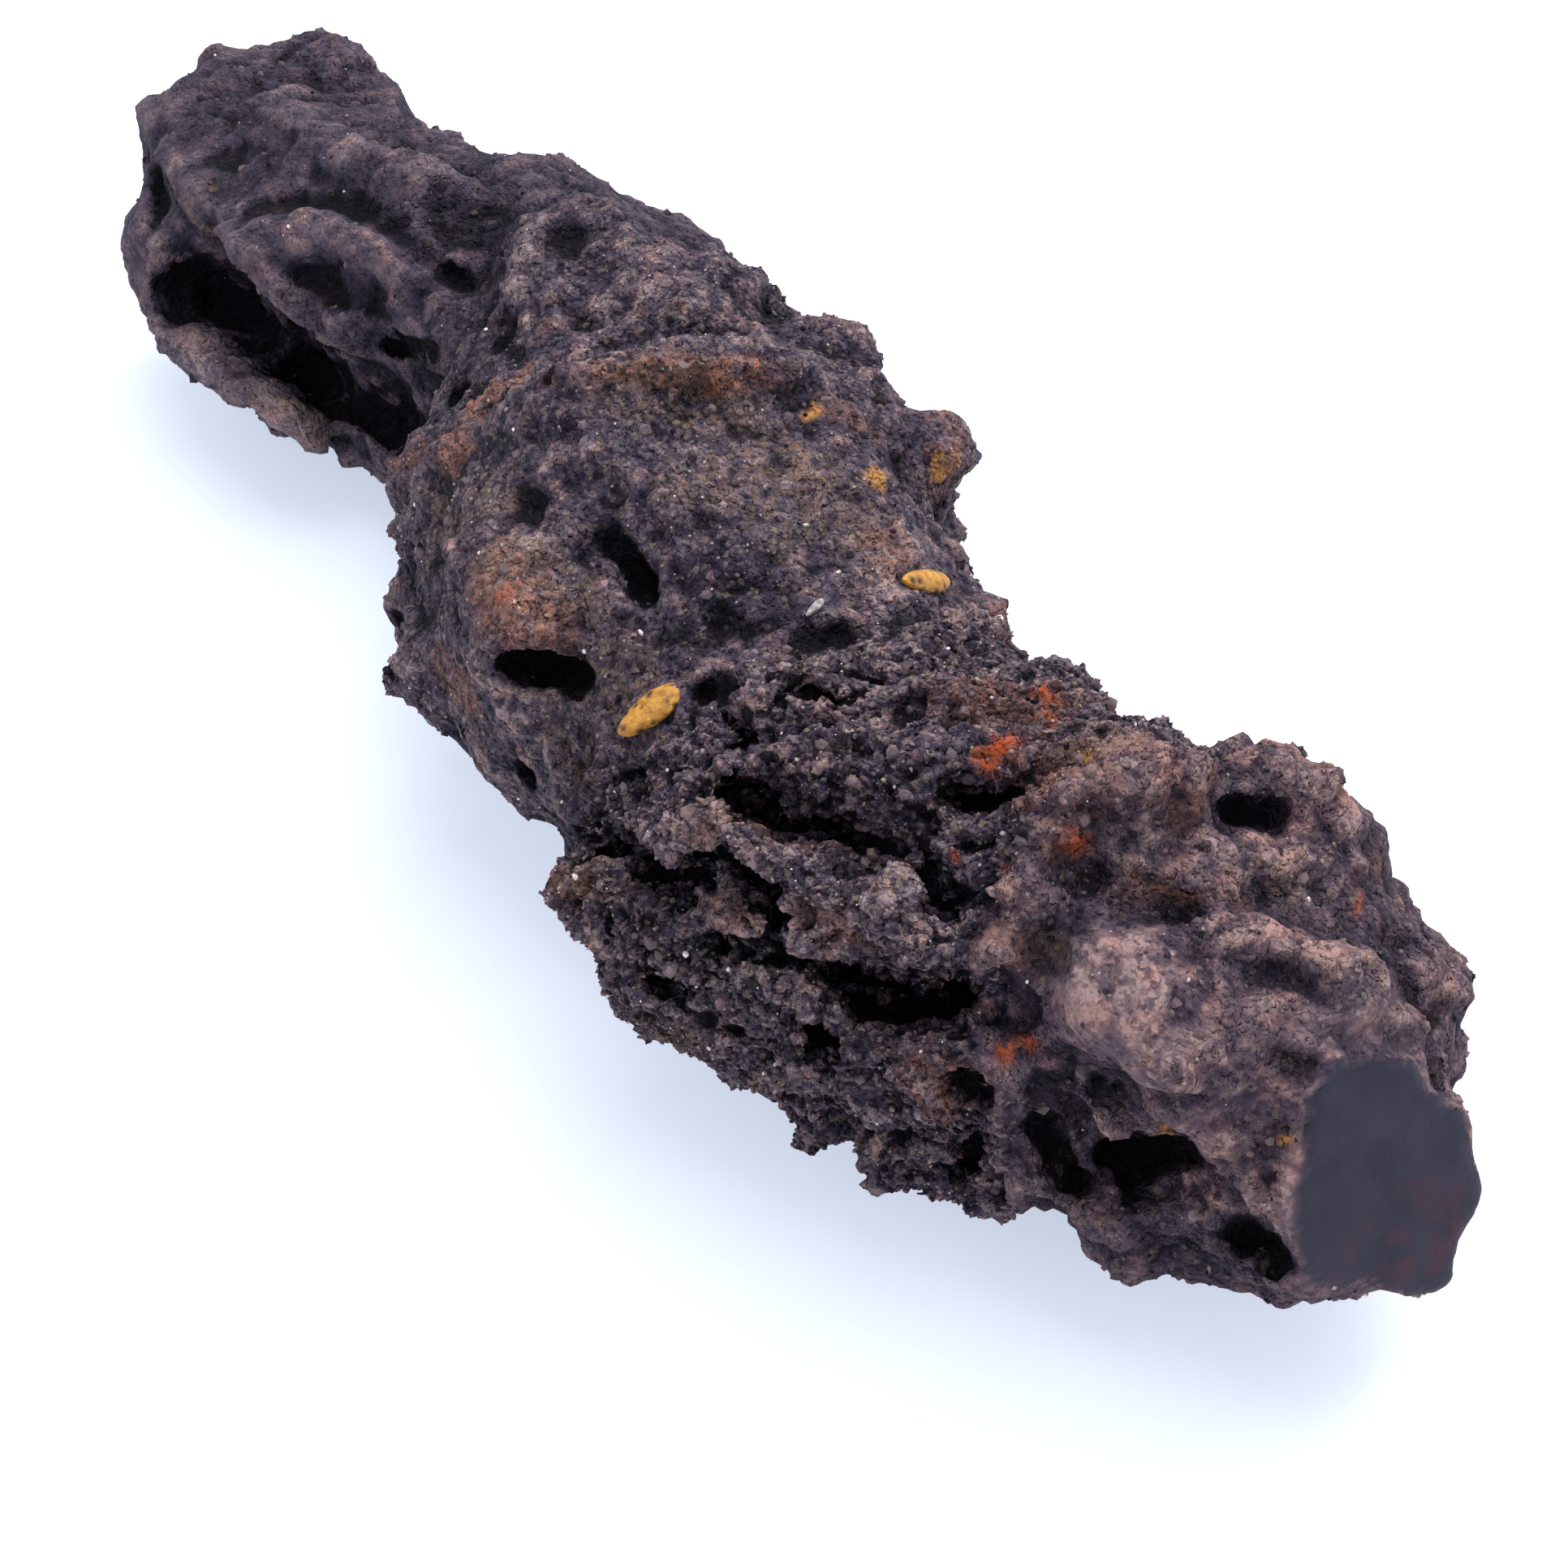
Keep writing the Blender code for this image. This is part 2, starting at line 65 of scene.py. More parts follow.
# Hollows pressed into the skin. Each: depth, half width, and then the pixels that it runs through.
HOLLOWS = {
    # the folded length
    "ledge crevice": (
        2.2, 1.05, (897, 961), (930, 984), (940, 1005), (973, 1023), (1004, 1026), (1030, 1022)),
    "ledge crevice left": (2.2, 0.9, (905, 958), (940, 985), (958, 1008)),
    "ledge crevice tail": (1.4, 0.5, (1040, 1034), (1083, 1046), (1126, 1050)),
    "small gaps": (1.0, 0.3, (1136, 1012), (1150, 1020)),
    "right gap": (1.7, 0.65, (1136, 1078), (1155, 1096), (1179, 1108)),
    "left gap": (2.2, 0.9, (782, 1076), (818, 1076), (849, 1104)),
    "left gap upper": (1.6, 0.6, (700, 1030), (740, 1045), (775, 1062)),
    "under the slab": (2.1, 0.9, (856, 1073), (910, 1070), (940, 1096), (964, 1125)),
    "slab to cave": (2.0, 0.8, (964, 1130), (992, 1172), (1040, 1206)),
    "lower left gap": (1.8, 0.65, (876, 1166), (925, 1176), (964, 1180)),
    "big cave": (2.8, 1.35, (1040, 1204), (1090, 1222), (1140, 1234), (1180, 1236)),
    "flank hole": (1.6, 0.65, (800, 1212), (828, 1228)),
    "flank streak": (0.9, 0.32, (788, 1164), (800, 1210)),
    "flank streak left": (0.9, 0.34, (752, 1130), (758, 1165)),
    "flank line": (0.9, 0.3, (876, 1188), (878, 1222)),
    "flank seam": (0.9, 0.32, (845, 1250), (905, 1272), (960, 1300)),
    "flank notch": (1.7, 0.75, (1004, 1276), (1016, 1308), (1040, 1296)),
    "notch above": (1.0, 0.4, (1036, 1262), (1080, 1270)),
    "slab corner": (0.9, 0.5, (1020, 1348), (1034, 1368)),
    "under strip": (0.9, 0.6, (906, 1324), (944, 1343), (960, 1356)),
    "slab split": (1.0, 0.26, (1070, 1393), (1126, 1391), (1174, 1386)),
    "under strip near": (1.4, 0.55, (1098, 1444), (1136, 1453), (1193, 1463)),
    "slab end": (1.0, 0.4, (1178, 1275), (1190, 1298)),
    "crack to the tip": (2.0, 0.8, (1190, 1340), (1196, 1391), (1193, 1434)),
    "top crease": (1.6, 0.65, (978, 852), (1004, 856), (1030, 856)),
    "top crease left": (1.6, 0.6, (866, 852), (890, 874), (918, 908)),
    "right crease": (1.8, 0.8, (1189, 980), (1232, 984), (1256, 975)),
    "small crease": (0.8, 0.28, (1074, 879), (1093, 879)),
    "by the orange": (1.0, 0.32, (1208, 937)),
    "saddle pit": (0.9, 0.7, (997, 783), (1045, 779), (1059, 788)),
    "left rim gap": (1.3, 0.5, (696, 1050), (758, 1056), (782, 1040)),
    "left rim dark": (1.2, 0.6, (720, 990), (740, 1015)),
    "left rim pit": (1.1, 0.45, (734, 1020), (750, 1036)),
    "left column": (0.9, 0.4, (690, 1045), (700, 1065)),
    # the near length
    "top pit": (1.5, 0.6, (1518, 1000), (1545, 998), (1572, 1008)),
    "ledge pit left": (0.6, 0.34, (1340, 1080)),
    "ledge pit": (1.0, 0.38, (1462, 1126)),
    "twin pit": (0.9, 0.33, (1273, 1238)),
    "twin pit left": (0.9, 0.33, (1238, 1258)),
    "lump foot pit": (1.1, 0.36, (1348, 1342), (1375, 1345)),
    "near cave": (1.8, 0.8, (1372, 1430), (1400, 1442), (1430, 1430), (1455, 1421)),
    "near cave tail": (1.2, 0.4, (1386, 1447), (1386, 1483)),
    "tip cave": (1.5, 0.85, (1528, 1534), (1559, 1538), (1566, 1560)),
    "tip pit": (0.8, 0.3, (1549, 1457), (1566, 1457)),
    "near crack": (1.8, 0.55, (1279, 1381), (1296, 1420), (1318, 1455), (1337, 1472)),
    "lump groove": (0.6, 0.25, (1294, 1253), (1299, 1299), (1309, 1335)),
    "lump hollow": (0.5, 0.45, (1452, 1290), (1470, 1262), (1485, 1217)),
    "rim foot": (0.5, 0.4, (1215, 1125), (1225, 1060)),
    "rim foot low": (0.7, 0.4, (1185, 1200), (1205, 1290), (1200, 1340)),
    "under the ridge": (0.55, 0.28, (1559, 1192), (1600, 1207), (1641, 1228)),
    "ridge pit": (0.7, 0.25, (1677, 1192), (1687, 1207)),
    "right side pit": (0.8, 0.45, (1738, 1217), (1763, 1248), (1784, 1263)),
    "outline notch": (1.0, 0.4, (1500, 925), (1506, 915)),
    "seed bed": (0.25, 1.0, (788, 896), (818, 862)),
    "rim pits": (0.6, 0.25, (1375, 988), (1390, 1000)),
    "glint pit": (0.6, 0.22, (1467, 1003)),
    "ledge shade": (0.5, 0.2, (1386, 1100), (1416, 1095)),
    "far pits": (0.6, 0.2, (1636, 1120)),
    "far pit": (0.5, 0.2, (1712, 1151)),
    "streak gap": (0.8, 0.3, (1279, 1324), (1304, 1330)),
    # the belly
    "slot": (1.7, 0.6, (758, 670), (779, 697), (801, 729)),
    "slot mouth": (0.6, 0.7, (735, 665)),
    "cave": (2.0, 0.75, (628, 827), (671, 832), (709, 838)),
    "cave pit": (0.8, 0.36, (587, 887)),
    "slot pit": (0.7, 0.28, (752, 621)),
    "edge pit": (0.8, 0.34, (503, 616)),
    "edge pit low": (0.7, 0.3, (519, 648)),
    "rim pit left": (0.8, 0.4, (644, 545)),
    "rim pit": (0.8, 0.45, (695, 532)),
    "rim pit right": (0.5, 0.3, (736, 477)),
    "left dark": (0.7, 0.7, (557, 751)),
    "left dark low": (0.7, 0.5, (568, 784)),
    "low pit": (1.0, 0.55, (636, 962)),
    "slats": (0.7, 0.22, (660, 925), (668, 990)),
    "slats right": (0.6, 0.2, (690, 950), (694, 1000)),
    "belly nick": (0.5, 0.3, (845, 633), (865, 640)),
    "dark patch": (0.45, 0.8, (888, 767), (915, 778)),
    "dark patch left": (0.4, 0.7, (779, 762), (861, 794)),
    "bowl": (0.5, 0.9, (644, 616)),
    "shade under rim": (0.5, 0.7, (964, 572)),
    "knob shade": (0.5, 0.6, (1110, 560)),
    # the far length
    "groove bed": (1.0, 2.2, (225, 345), (290, 378), (350, 430), (410, 480), (500, 525)),
    "groove mouth": (1.2, 1.5, (222, 345), (262, 350), (290, 375)),
    "groove": (1.5, 1.4, (250, 340), (290, 375), (330, 410), (372, 445)),
    "groove tail": (1.4, 1.3, (350, 430), (410, 478), (450, 505), (500, 530)),
    "groove branch": (1.2, 0.8, (480, 428), (500, 434), (515, 440)),
    "groove upper": (0.45, 0.8, (375, 335), (400, 345), (415, 360)),
    "waist hole": (1.1, 0.7, (555, 325), (575, 338)),
    "waist hole small": (0.9, 0.55, (616, 420)),
    "rim hole": (1.2, 0.7, (560, 484)),
    "end dimple": (0.3, 0.9, (262, 190), (290, 185)),
    "end dimple right": (0.5, 0.45, (388, 174)),
    "end dimple top": (0.5, 0.4, (397, 118)),
    "dark curve": (0.6, 0.8, (309, 252), (370, 244), (430, 250), (480, 275), (530, 312)),
    "lens pit": (0.25, 0.6, (440, 370), (465, 385)),
    "end strip": (0.8, 0.5, (188, 185), (192, 262)),
    "waist dark": (0.6, 0.8, (683, 286), (700, 300)),
}

# Strokes that bring the outline out, or in where the first value is below zero. Each: how far, half width
# in pixels, the angle across the picture that it moves at, and the pixels that it runs through.
OUTLINE = {
    "end corner": (0.75, 45, 120, (202, 142), (230, 100), (260, 85)),
    "end shoulder": (0.3, 24, 60, (485, 125)),
    "end left top": (0.3, 40, 180, (170, 170), (172, 240)),
    "end left": (0.35, 45, 190, (165, 300), (172, 370)),
    "back": (-0.35, 50, 60, (520, 150), (590, 180)),
    "back middle": (0.2, 40, 80, (640, 195), (680, 200)),
    "back right": (-0.25, 55, 60, (745, 205), (862, 272)),
    "back knob": (0.7, 36, 50, (885, 320), (915, 338)),
    "back nick": (-0.45, 30, 55, (965, 375)),
    "back end": (0.55, 30, 30, (1060, 410), (1075, 445)),
    "knob top": (-0.4, 38, 50, (1105, 465), (1135, 485)),
    "knob side": (0.4, 36, 20, (1185, 520), (1190, 560)),
    "under the knob": (-0.35, 40, 0, (1186, 605), (1188, 650)),
    "saddle": (0.5, 44, 20, (1195, 680), (1215, 730)),
    "saddle low": (-0.4, 34, 20, (1245, 770), (1252, 800)),
    "fold top": (0.3, 40, 70, (1250, 810), (1320, 830)),
    "fold top near": (-0.7, 50, 70, (1400, 860), (1445, 872), (1490, 888)),
    "near top": (0.3, 40, 80, (1540, 905), (1610, 910)),
    "near top right": (-0.45, 70, 45, (1650, 940), (1700, 985), (1735, 1040)),
    "near side top": (-0.3, 40, 35, (1765, 1110), (1785, 1145)),
    "near side": (0.6, 40, 10, (1790, 1170), (1800, 1215)),
    "near side low": (-0.25, 45, 0, (1812, 1270), (1815, 1330)),
    "tip side": (0.45, 80, 340, (1815, 1490), (1810, 1550)),
    "tip foot": (1.0, 70, 320, (1800, 1575), (1760, 1610)),
    "tip foot left": (-0.2, 50, 270, (1620, 1615), (1700, 1618)),
    "foot notch": (-0.55, 45, 262, (1240, 1505), (1300, 1520)),
    "fold foot": (0.8, 60, 250, (1110, 1450), (1170, 1475), (1220, 1485)),
    "fold foot left": (-0.3, 35, 250, (1060, 1440), (1080, 1460)),
    "fold foot top": (0.3, 35, 240, (1010, 1405), (1035, 1420)),
    "flank": (-0.7, 60, 235, (830, 1315), (900, 1362), (945, 1385)),
    "flank top": (0.3, 35, 225, (800, 1275), (825, 1290)),
    "fold side": (0.55, 60, 210, (690, 1110), (735, 1180), (760, 1215)),
    "fold corner": (-0.4, 40, 180, (668, 1035), (672, 1070)),
    "belly low": (-0.4, 60, 225, (545, 930), (600, 980), (640, 1025)),
    "belly left": (0.3, 36, 180, (490, 600), (490, 660)),
    "belly left low": (0.5, 40, 190, (487, 760), (495, 830)),
    "lip": (-0.4, 45, 235, (310, 535), (375, 560)),
    "lip end": (0.55, 36, 245, (400, 562), (430, 572), (470, 582)),
}

# What stands proud of the skin, or below zero is drawn in, written as the hollows are, with a height for
# the depth.
LUMPS = {
    # the outline where it faces down or up
    "fold foot": (0.5, 1.4, (1090, 1425), (1120, 1436)),
    "saddle rise": (0.75, 1.8, (1180, 675), (1205, 725), (1230, 775)),
    # the near end beside the sheared tip
    "tip rim": (-0.7, 1.0, (1720, 1290), (1765, 1297), (1793, 1325)),
    "arc foot": (0.6, 1.1, (1590, 1325), (1612, 1305)),
    "near fill": (0.6, 1.3, (1290, 1105), (1335, 1130)),
    "near fill low": (0.5, 0.8, (1290, 1220), (1295, 1260)),
    # the folded length
    "slab": (0.9, 0.85, (820, 1047), (868, 1026), (925, 1040), (983, 1048), (1031, 1042)),
    "slab edge": (0.35, 0.4, (850, 1040), (900, 1052), (960, 1066), (1020, 1062)),
    "hump": (0.6, 1.5, (983, 1114), (1031, 1123), (1078, 1133), (1126, 1147)),
    "hump edge": (0.45, 0.5, (990, 1140), (1050, 1165), (1100, 1190), (1150, 1200)),
    "low ledge": (0.5, 0.8, (849, 1128), (887, 1125), (925, 1147)),
    "lower ledge": (0.4, 0.7, (887, 1205), (935, 1205), (964, 1219)),
    "granular slab": (0.6, 1.4, (1070, 1300), (1126, 1300), (1170, 1310)),
    "granular slab edge": (0.4, 0.5, (1070, 1365), (1120, 1372), (1170, 1365)),
    "low slab": (0.4, 0.6, (1070, 1412), (1120, 1416), (1170, 1410)),
    "ochre ledge": (0.45, 0.6, (700, 1078), (744, 1073), (767, 1083)),
    "shoulder ledge": (0.35, 0.8, (745, 985), (790, 950), (830, 930)),
    "upper ledge": (0.35, 0.5, (925, 868), (965, 862), (1010, 870)),
    "upper ledge right": (0.35, 0.5, (1100, 850), (1150, 842), (1200, 850)),
    "mid ledge": (0.35, 0.6, (1000, 985), (1050, 978), (1100, 990)),
    # the near length
    "big lump": (1.35, 2.6, (1385, 1222), (1398, 1268)),
    "pale bead": (0.9, 0.9, (1233, 1170)),
    "near rim": (0.45, 1.6, (1262, 1090), (1275, 1030), (1310, 975), (1370, 935), (1430, 915)),
    "ridge": (0.6, 1.0, (1508, 1151), (1559, 1151), (1610, 1166), (1656, 1187)),
    "arc": (0.5, 1.3, (1478, 1325), (1523, 1285), (1574, 1256), (1636, 1250), (1702, 1266), (1758, 1295)),
    "foot lump": (0.7, 0.9, (1365, 1381)),
    "ochre lump": (0.5, 0.5, (1452, 1324)),
    "foot pebble": (0.6, 0.34, (1414, 1483), (1418, 1508)),
    "foot pebble left": (0.5, 0.4, (1380, 1534)),
    "foot mound": (0.4, 0.8, (1483, 1498)),
    "tip corner": (1.0, 1.5, (1625, 1375), (1660, 1345), (1720, 1335)),
    "mid mound": (0.6, 1.5, (1480, 1375), (1530, 1350)),
    "top lump left": (0.7, 1.3, (1380, 965), (1440, 945)),
    "top lump right": (0.8, 1.4, (1540, 945), (1610, 960)),
    "near top": (0.5, 3.2, (1440, 985), (1600, 995)),
    "rim lump": (0.4, 0.6, (1304, 993), (1325, 975)),
    "streak": (0.4, 0.35, (1248, 1330), (1253, 1386)),
    "streak left": (0.35, 0.3, (1222, 1340), (1230, 1400)),
    "ledge": (0.4, 0.4, (1375, 1083), (1432, 1078), (1518, 1098)),
    # the belly
    "rim left": (0.4, 0.6, (553, 560), (570, 515), (618, 482), (690, 460)),
    "rim": (0.4, 0.6, (690, 460), (744, 452), (821, 453), (917, 452)),
    "rim knuckle": (0.6, 0.8, (975, 452), (995, 455)),
    "rust hump": (0.6, 1.2, (633, 740), (655, 785)),
    "left mound": (0.4, 1.2, (560, 690)),
    "knob": (0.4, 1.0, (1165, 560)),
    # the far length
    "ochre ridge": (0.8, 1.0, (210, 190), (235, 225), (262, 268), (313, 318), (352, 352)),
    "lens": (0.7, 1.4, (321, 296), (379, 285), (433, 295), (485, 325)),
    "end lump": (0.6, 0.9, (201, 304)),
    "end light": (0.35, 0.7, (362, 116)),
    "back ridge": (0.35, 0.7, (451, 195), (525, 235)),
    "saddle lump": (0.5, 0.9, (411, 402)),
    "saddle lump right": (0.4, 0.8, (491, 375)),
    "waist lump": (0.5, 1.0, (634, 357)),
    "waist lump small": (0.35, 0.6, (576, 379)),
    "waist lump red": (0.35, 0.8, (670, 411)),
    "lip lump": (0.7, 1.2, (200, 400), (250, 445), (310, 490)),
    "brow": (0.6, 1.5, (333, 130), (400, 170), (470, 205), (550, 240)),
    "lip lump low": (0.4, 0.8, (357, 495)),
}

# Stains, each: how strong, half width, and the pixels that it runs through.
RUST = (
    (0.9, 0.9, (560, 560), (572, 520), (600, 490), (640, 470)),
    (1.0, 0.65, (680, 458), (744, 450), (821, 453), (890, 460), (940, 455)),
    (0.9, 1.7, (615, 720), (650, 770)),
    (0.7, 1.2, (600, 700)),
    (0.8, 0.8, (1165, 520)),
    (0.8, 1.0, (1170, 570), (1172, 610)),
    (0.7, 1.2, (1100, 670), (1180, 690)),
    (0.6, 0.9, (1220, 760), (1240, 790)),
    (0.6, 1.6, (1200, 850), (1280, 870)),
    (0.7, 1.4, (1290, 960), (1400, 950), (1440, 960)),
    (0.8, 0.8, (1600, 930), (1640, 980)),
    (0.7, 0.8, (1310, 1035)),
    (0.7, 0.6, (1400, 1080), (1460, 1095), (1520, 1100)),
    (0.6, 0.9, (1235, 1165)),
    (0.6, 0.5, (1205, 1245)),
    (0.6, 0.7, (860, 1120), (900, 1125)),
    (0.55, 1.0, (880, 1030), (980, 1040), (1030, 1045)),
    (0.6, 0.7, (700, 1085), (735, 1095)),
    (0.6, 1.0, (540, 820), (575, 860)),
    (0.5, 1.0, (480, 550), (520, 570)),
    (0.5, 0.7, (670, 411)),
    (0.5, 0.9, (430, 560), (470, 580)),
    (0.6, 0.9, (1710, 1050), (1740, 1090)),
    (0.5, 1.0, (1010, 1130), (1080, 1145)),
    (0.5, 0.8, (1030, 500), (1080, 520)),
)
OCHRE = (
    (0.8, 0.8, (250, 250), (275, 290), (320, 325)),
    (0.6, 0.9, (360, 500), (395, 540)),
    (0.6, 1.6, (960, 560), (1060, 650)),
    (0.6, 1.4, (780, 480), (900, 500)),
    (0.5, 1.6, (860, 590), (960, 640)),
    (0.7, 1.0, (690, 1075), (735, 1070)),
    (0.6, 0.7, (1429, 1028), (1432, 1012)),
    (0.7, 0.7, (1446, 1330), (1455, 1310)),
    (0.6, 0.8, (1560, 1080), (1590, 1100)),
    (0.5, 0.6, (1290, 1180), (1320, 1170)),
    (0.6, 0.8, (1600, 940), (1620, 965)),
    (0.6, 1.6, (620, 680), (700, 740)),
    (0.5, 1.4, (700, 820), (780, 860)),
    (0.5, 1.2, (540, 640), (600, 620)),
    (0.7, 0.9, (1330, 930), (1390, 925)),
    (0.5, 1.0, (810, 1270), (850, 1290)),
    (0.4, 0.8, (1560, 1320), (1590, 1300)),
    (0.5, 1.2, (700, 930), (730, 950)),
    (0.5, 1.2, (880, 980), (870, 1010)),
)
EMBER = (
    (1.0, 0.42, (1290, 858), (1293, 880)),
    (1.0, 0.36, (1300, 850)),
    (1.0, 0.48, (1222, 930), (1248, 922)),
    (0.5, 0.40, (885, 478)),
    (0.9, 0.36, (1245, 1300), (1262, 1290)),
    (0.8, 0.32, (1180, 1045)),
    (0.7, 0.34, (1680, 1115)),
    (0.8, 0.36, (1318, 1035)),
    (0.8, 0.34, (1245, 1085)),
    (0.5, 0.45, (625, 735), (640, 760)),
    (0.7, 0.32, (1650, 965)),
)
GOLD = (
    (1.0, 0.30, (1158, 572), (1168, 580)),
    (0.8, 0.22, (1170, 603)),
    (0.9, 0.42, (1078, 589), (1092, 592)),
    (1.0, 0.36, (1005, 511)),
    (0.6, 0.45, (266, 280)),
    (0.8, 0.30, (1429, 1388)),
    (0.8, 0.26, (1585, 1390), (1585, 1410)),
    (0.7, 0.22, (1585, 1490)),
    (0.6, 0.30, (1432, 1020)),
    (0.6, 0.26, (1090, 900)),
    (0.7, 0.30, (1385, 915), (1350, 935)),
    (0.5, 0.32, (1452, 1325)),
)
# Where the skin is paler and browner than elsewhere, partly painted light on the tops of the slabs, the big
# lump and the ridges, and where it is blackest, partly painted shade in hollows and under the near end.
PALE = (
    (0.60, 2.3, (1380, 1215), (1395, 1250)),
    (0.8, 0.9, (1233, 1166)),
    (0.6, 0.9, (1508, 1151), (1600, 1166), (1650, 1180)),
    (0.7, 0.9, (1478, 1320), (1560, 1262), (1636, 1255), (1702, 1268), (1758, 1299)),
    (0.6, 0.8, (1365, 1381)),
    (0.5, 1.1, (1493, 1391)),
    (0.6, 1.1, (1380, 958), (1440, 940)),
    (0.6, 1.2, (1534, 925), (1610, 940), (1660, 990)),
    (0.8, 0.8, (820, 1042), (868, 1022), (925, 1036), (1031, 1040)),
    (0.5, 1.4, (990, 1118), (1090, 1130), (1130, 1115)),
    (0.6, 0.5, (860, 1130), (930, 1138)),
    (0.4, 0.6, (890, 1196), (950, 1205)),
    (0.4, 0.7, (920, 872), (1015, 868)),
    (0.6, 1.3, (200, 400), (250, 445), (310, 490), (365, 525)),
    (0.5, 1.4, (620, 640), (690, 700)),
    (0.4, 1.3, (900, 500), (1000, 600)),
    (0.5, 1.4, (1100, 700), (1180, 760)),
    (0.55, 3.0, (1050, 690), (1150, 700)),
    (0.45, 2.2, (1440, 1040), (1600, 1080)),
    (0.35, 3.0, (640, 300), (800, 350), (900, 400)),
    (0.30, 2.0, (620, 900), (650, 950)),
    (0.25, 3.0, (760, 560), (900, 580)),
    (0.35, 1.2, (362, 116), (451, 195)),
    (0.3, 1.2, (379, 275), (433, 290)),
    (0.4, 1.2, (634, 357), (720, 400)),
    (0.4, 0.9, (1120, 1310), (1150, 1330)),
    (0.3, 2.4, (860, 1280), (950, 1320), (1060, 1370)),
    (0.3, 2.0, (900, 815), (1100, 855)),
)
BLACK = (
    (0.6, 2.6, (1290, 1440), (1340, 1520), (1440, 1555), (1540, 1590)),
    (0.5, 1.6, (1230, 1400), (1260, 1450)),
    (0.8, 1.4, (850, 640), (900, 680)),
    (0.8, 1.5, (888, 767), (1000, 780), (1060, 790)),
    (0.35, 1.6, (960, 900), (1040, 940)),
    (0.7, 1.2, (1190, 975), (1250, 975)),
    (0.6, 1.4, (790, 1120), (830, 1160)),
    (0.6, 1.2, (690, 610)),
    (0.6, 1.0, (557, 751)),
    (0.5, 1.5, (230, 380), (300, 430)),
    (0.5, 1.4, (600, 260), (700, 290)),
    (0.5, 0.9, (1230, 1100)),
    (0.6, 1.0, (1520, 1540)),
)

# The yellow and pale bits. Each: half length, half width, height, the pixel at its middle, and a pixel
# that it points to.
SEEDS = {
    "seed": (1.25, 0.60, 0.34, (803, 879), (836, 844)),
    "seed_small": (1.35, 0.44, 0.26, (1137, 719), (1172, 726)),
}
SPLINTER = (0.45, 0.14, 0.13, (1003, 752), (1016, 742))
# How high their middles lie, how blunt the end that points is and how much wider, and their bumps, each
# an amount and how many to a millimetre.
BIT_LIFT, BIT_BLUNT, BIT_WIDER = 0.15, 0.72, 0.15
BIT_BUMPS = ((0.10, 1.6), (0.04, 4.0))
# Their pits: spacing, half width as a share of the spacing, depth, and how fast a pit turns dark.
PIT_SPACING, PIT_WIDTH, PIT_DEPTH, PIT_DARK = 0.36, 0.48, 0.14, 2.2

# The reddish side of the sheared tip.
BLUSH = ((1.0, 2.6, (1760, 1530)), (0.6, 2.0, (1690, 1560)))

# Where the finer relief is held back, as on the big worn lump.
SMOOTH = (
    (0.85, 2.4, (1375, 1210), (1405, 1250)),
    (0.5, 0.8, (1233, 1166)),
    (0.5, 0.7, (1508, 1151), (1600, 1166), (1650, 1180)),
    (0.55, 0.8, (1478, 1320), (1560, 1262), (1636, 1255), (1702, 1268), (1758, 1299)),
    (0.4, 1.2, (321, 286), (379, 275), (433, 290), (491, 330)),
    (0.35, 6.0, (200, 200), (300, 250), (400, 300), (500, 350)),
    (1.0, 1.0, (788, 896), (818, 862)),
    (0.6, 1.4, (1480, 1370), (1540, 1340)),
)

# How the tables' lines act. A hollow also runs away from the camera, a line is looked at only near its
# first point and fades at its edge, and noise, as sizes and amounts, makes that edge ragged.
INTO_THE_PICTURE = 1.0
LINE_REACH = 14.0
STEEPNESS = 1.9
EDGE_NOISE = ((1.3, 0.38), (0.5, 0.16))
OUTLINE_NOISE = EDGE_NOISE[:1]
PAINT_STEEPNESS = 1.4
PAINT_OUT = 1.3
PAINT_NOISE = ((1.1, 0.5), (0.4, 0.3))

# The lines strewn on the sides out of the camera's sight: how many of each kind, their amounts and half
# widths, fewer steps than this and how long, and where they may start.
LUMPS_ELSEWHERE = (110, (0.3, 0.7), (0.4, 1.3))
HOLLOWS_ELSEWHERE = (170, (0.6, 1.6), (0.25, 0.8))
STRENGTHS_ELSEWHERE = (0.5, 0.9)
STAIN_WIDTHS, SPECK_WIDTHS = (0.5, 1.4), (0.25, 0.45)
# Stains, with the pale and black layers, which are partly painted light and shade.
STAINS_LIGHT_AND_SHADE = {
    "rust": (RUST, 26, STAIN_WIDTHS),
    "ochre": (OCHRE, 22, STAIN_WIDTHS),
    "pale": (PALE, 16, STAIN_WIDTHS),
    "black": (BLACK, 12, STAIN_WIDTHS),
    "ember": (EMBER, 8, SPECK_WIDTHS),
    "gold": (GOLD, 6, SPECK_WIDTHS),
}
STEPS_BELOW, STEP = 3, (0.6, 1.6)
TURNED_AWAY, CLEAR_OF_FLOOR = -0.05, 1.5

# The bare skin: the gap closed between corners, the voxels that it is made over in, the rounds that
# even it out, and how deep a hollow is that gets filled before the tables cut theirs.
JOIN = 1e-7
VOXEL = 0.30
BASE_ROUNDS, FILL_ROUNDS = 4, 60
FILL_FROM = 0.25

# How fast the camera's sight of the skin fades as it turns away, and how far past edge-on it reaches in
# each use.
SIGHT_FADE = 2
FILL_SIGHT, RELIEF_SIGHT, FLAKE_SIGHT = 0.8, 0.5, 0.0

# Faces that turn away further than this are thinned: the share of all faces left, and how strongly the
# hidden ones go first.
HIDDEN_BELOW, FACES_LEFT, HIDDEN_FAVOUR = -0.15, 0.66, 20.0

# Where the folded and the near length begin by x. Both borders lean with the height above a level, the
# first one with y too, and each fades over a width.
BORDER_LEVEL = 9.0
FOLD_X, FOLD_LEAN, FOLD_SKEW, FOLD_Y, FOLD_FADE = 11.3, 0.45, 0.2, -9.0, 2.0
NEAR_X, NEAR_LEAN, NEAR_FADE = 30.4, -0.33, 1.0

# The sheared face and the calm rim around it: the width that each fades over, and how many such widths
# before the plane it starts.
TIP_FACE, TIP_RIM = (0.16, 1.5), (0.8, 1.2)

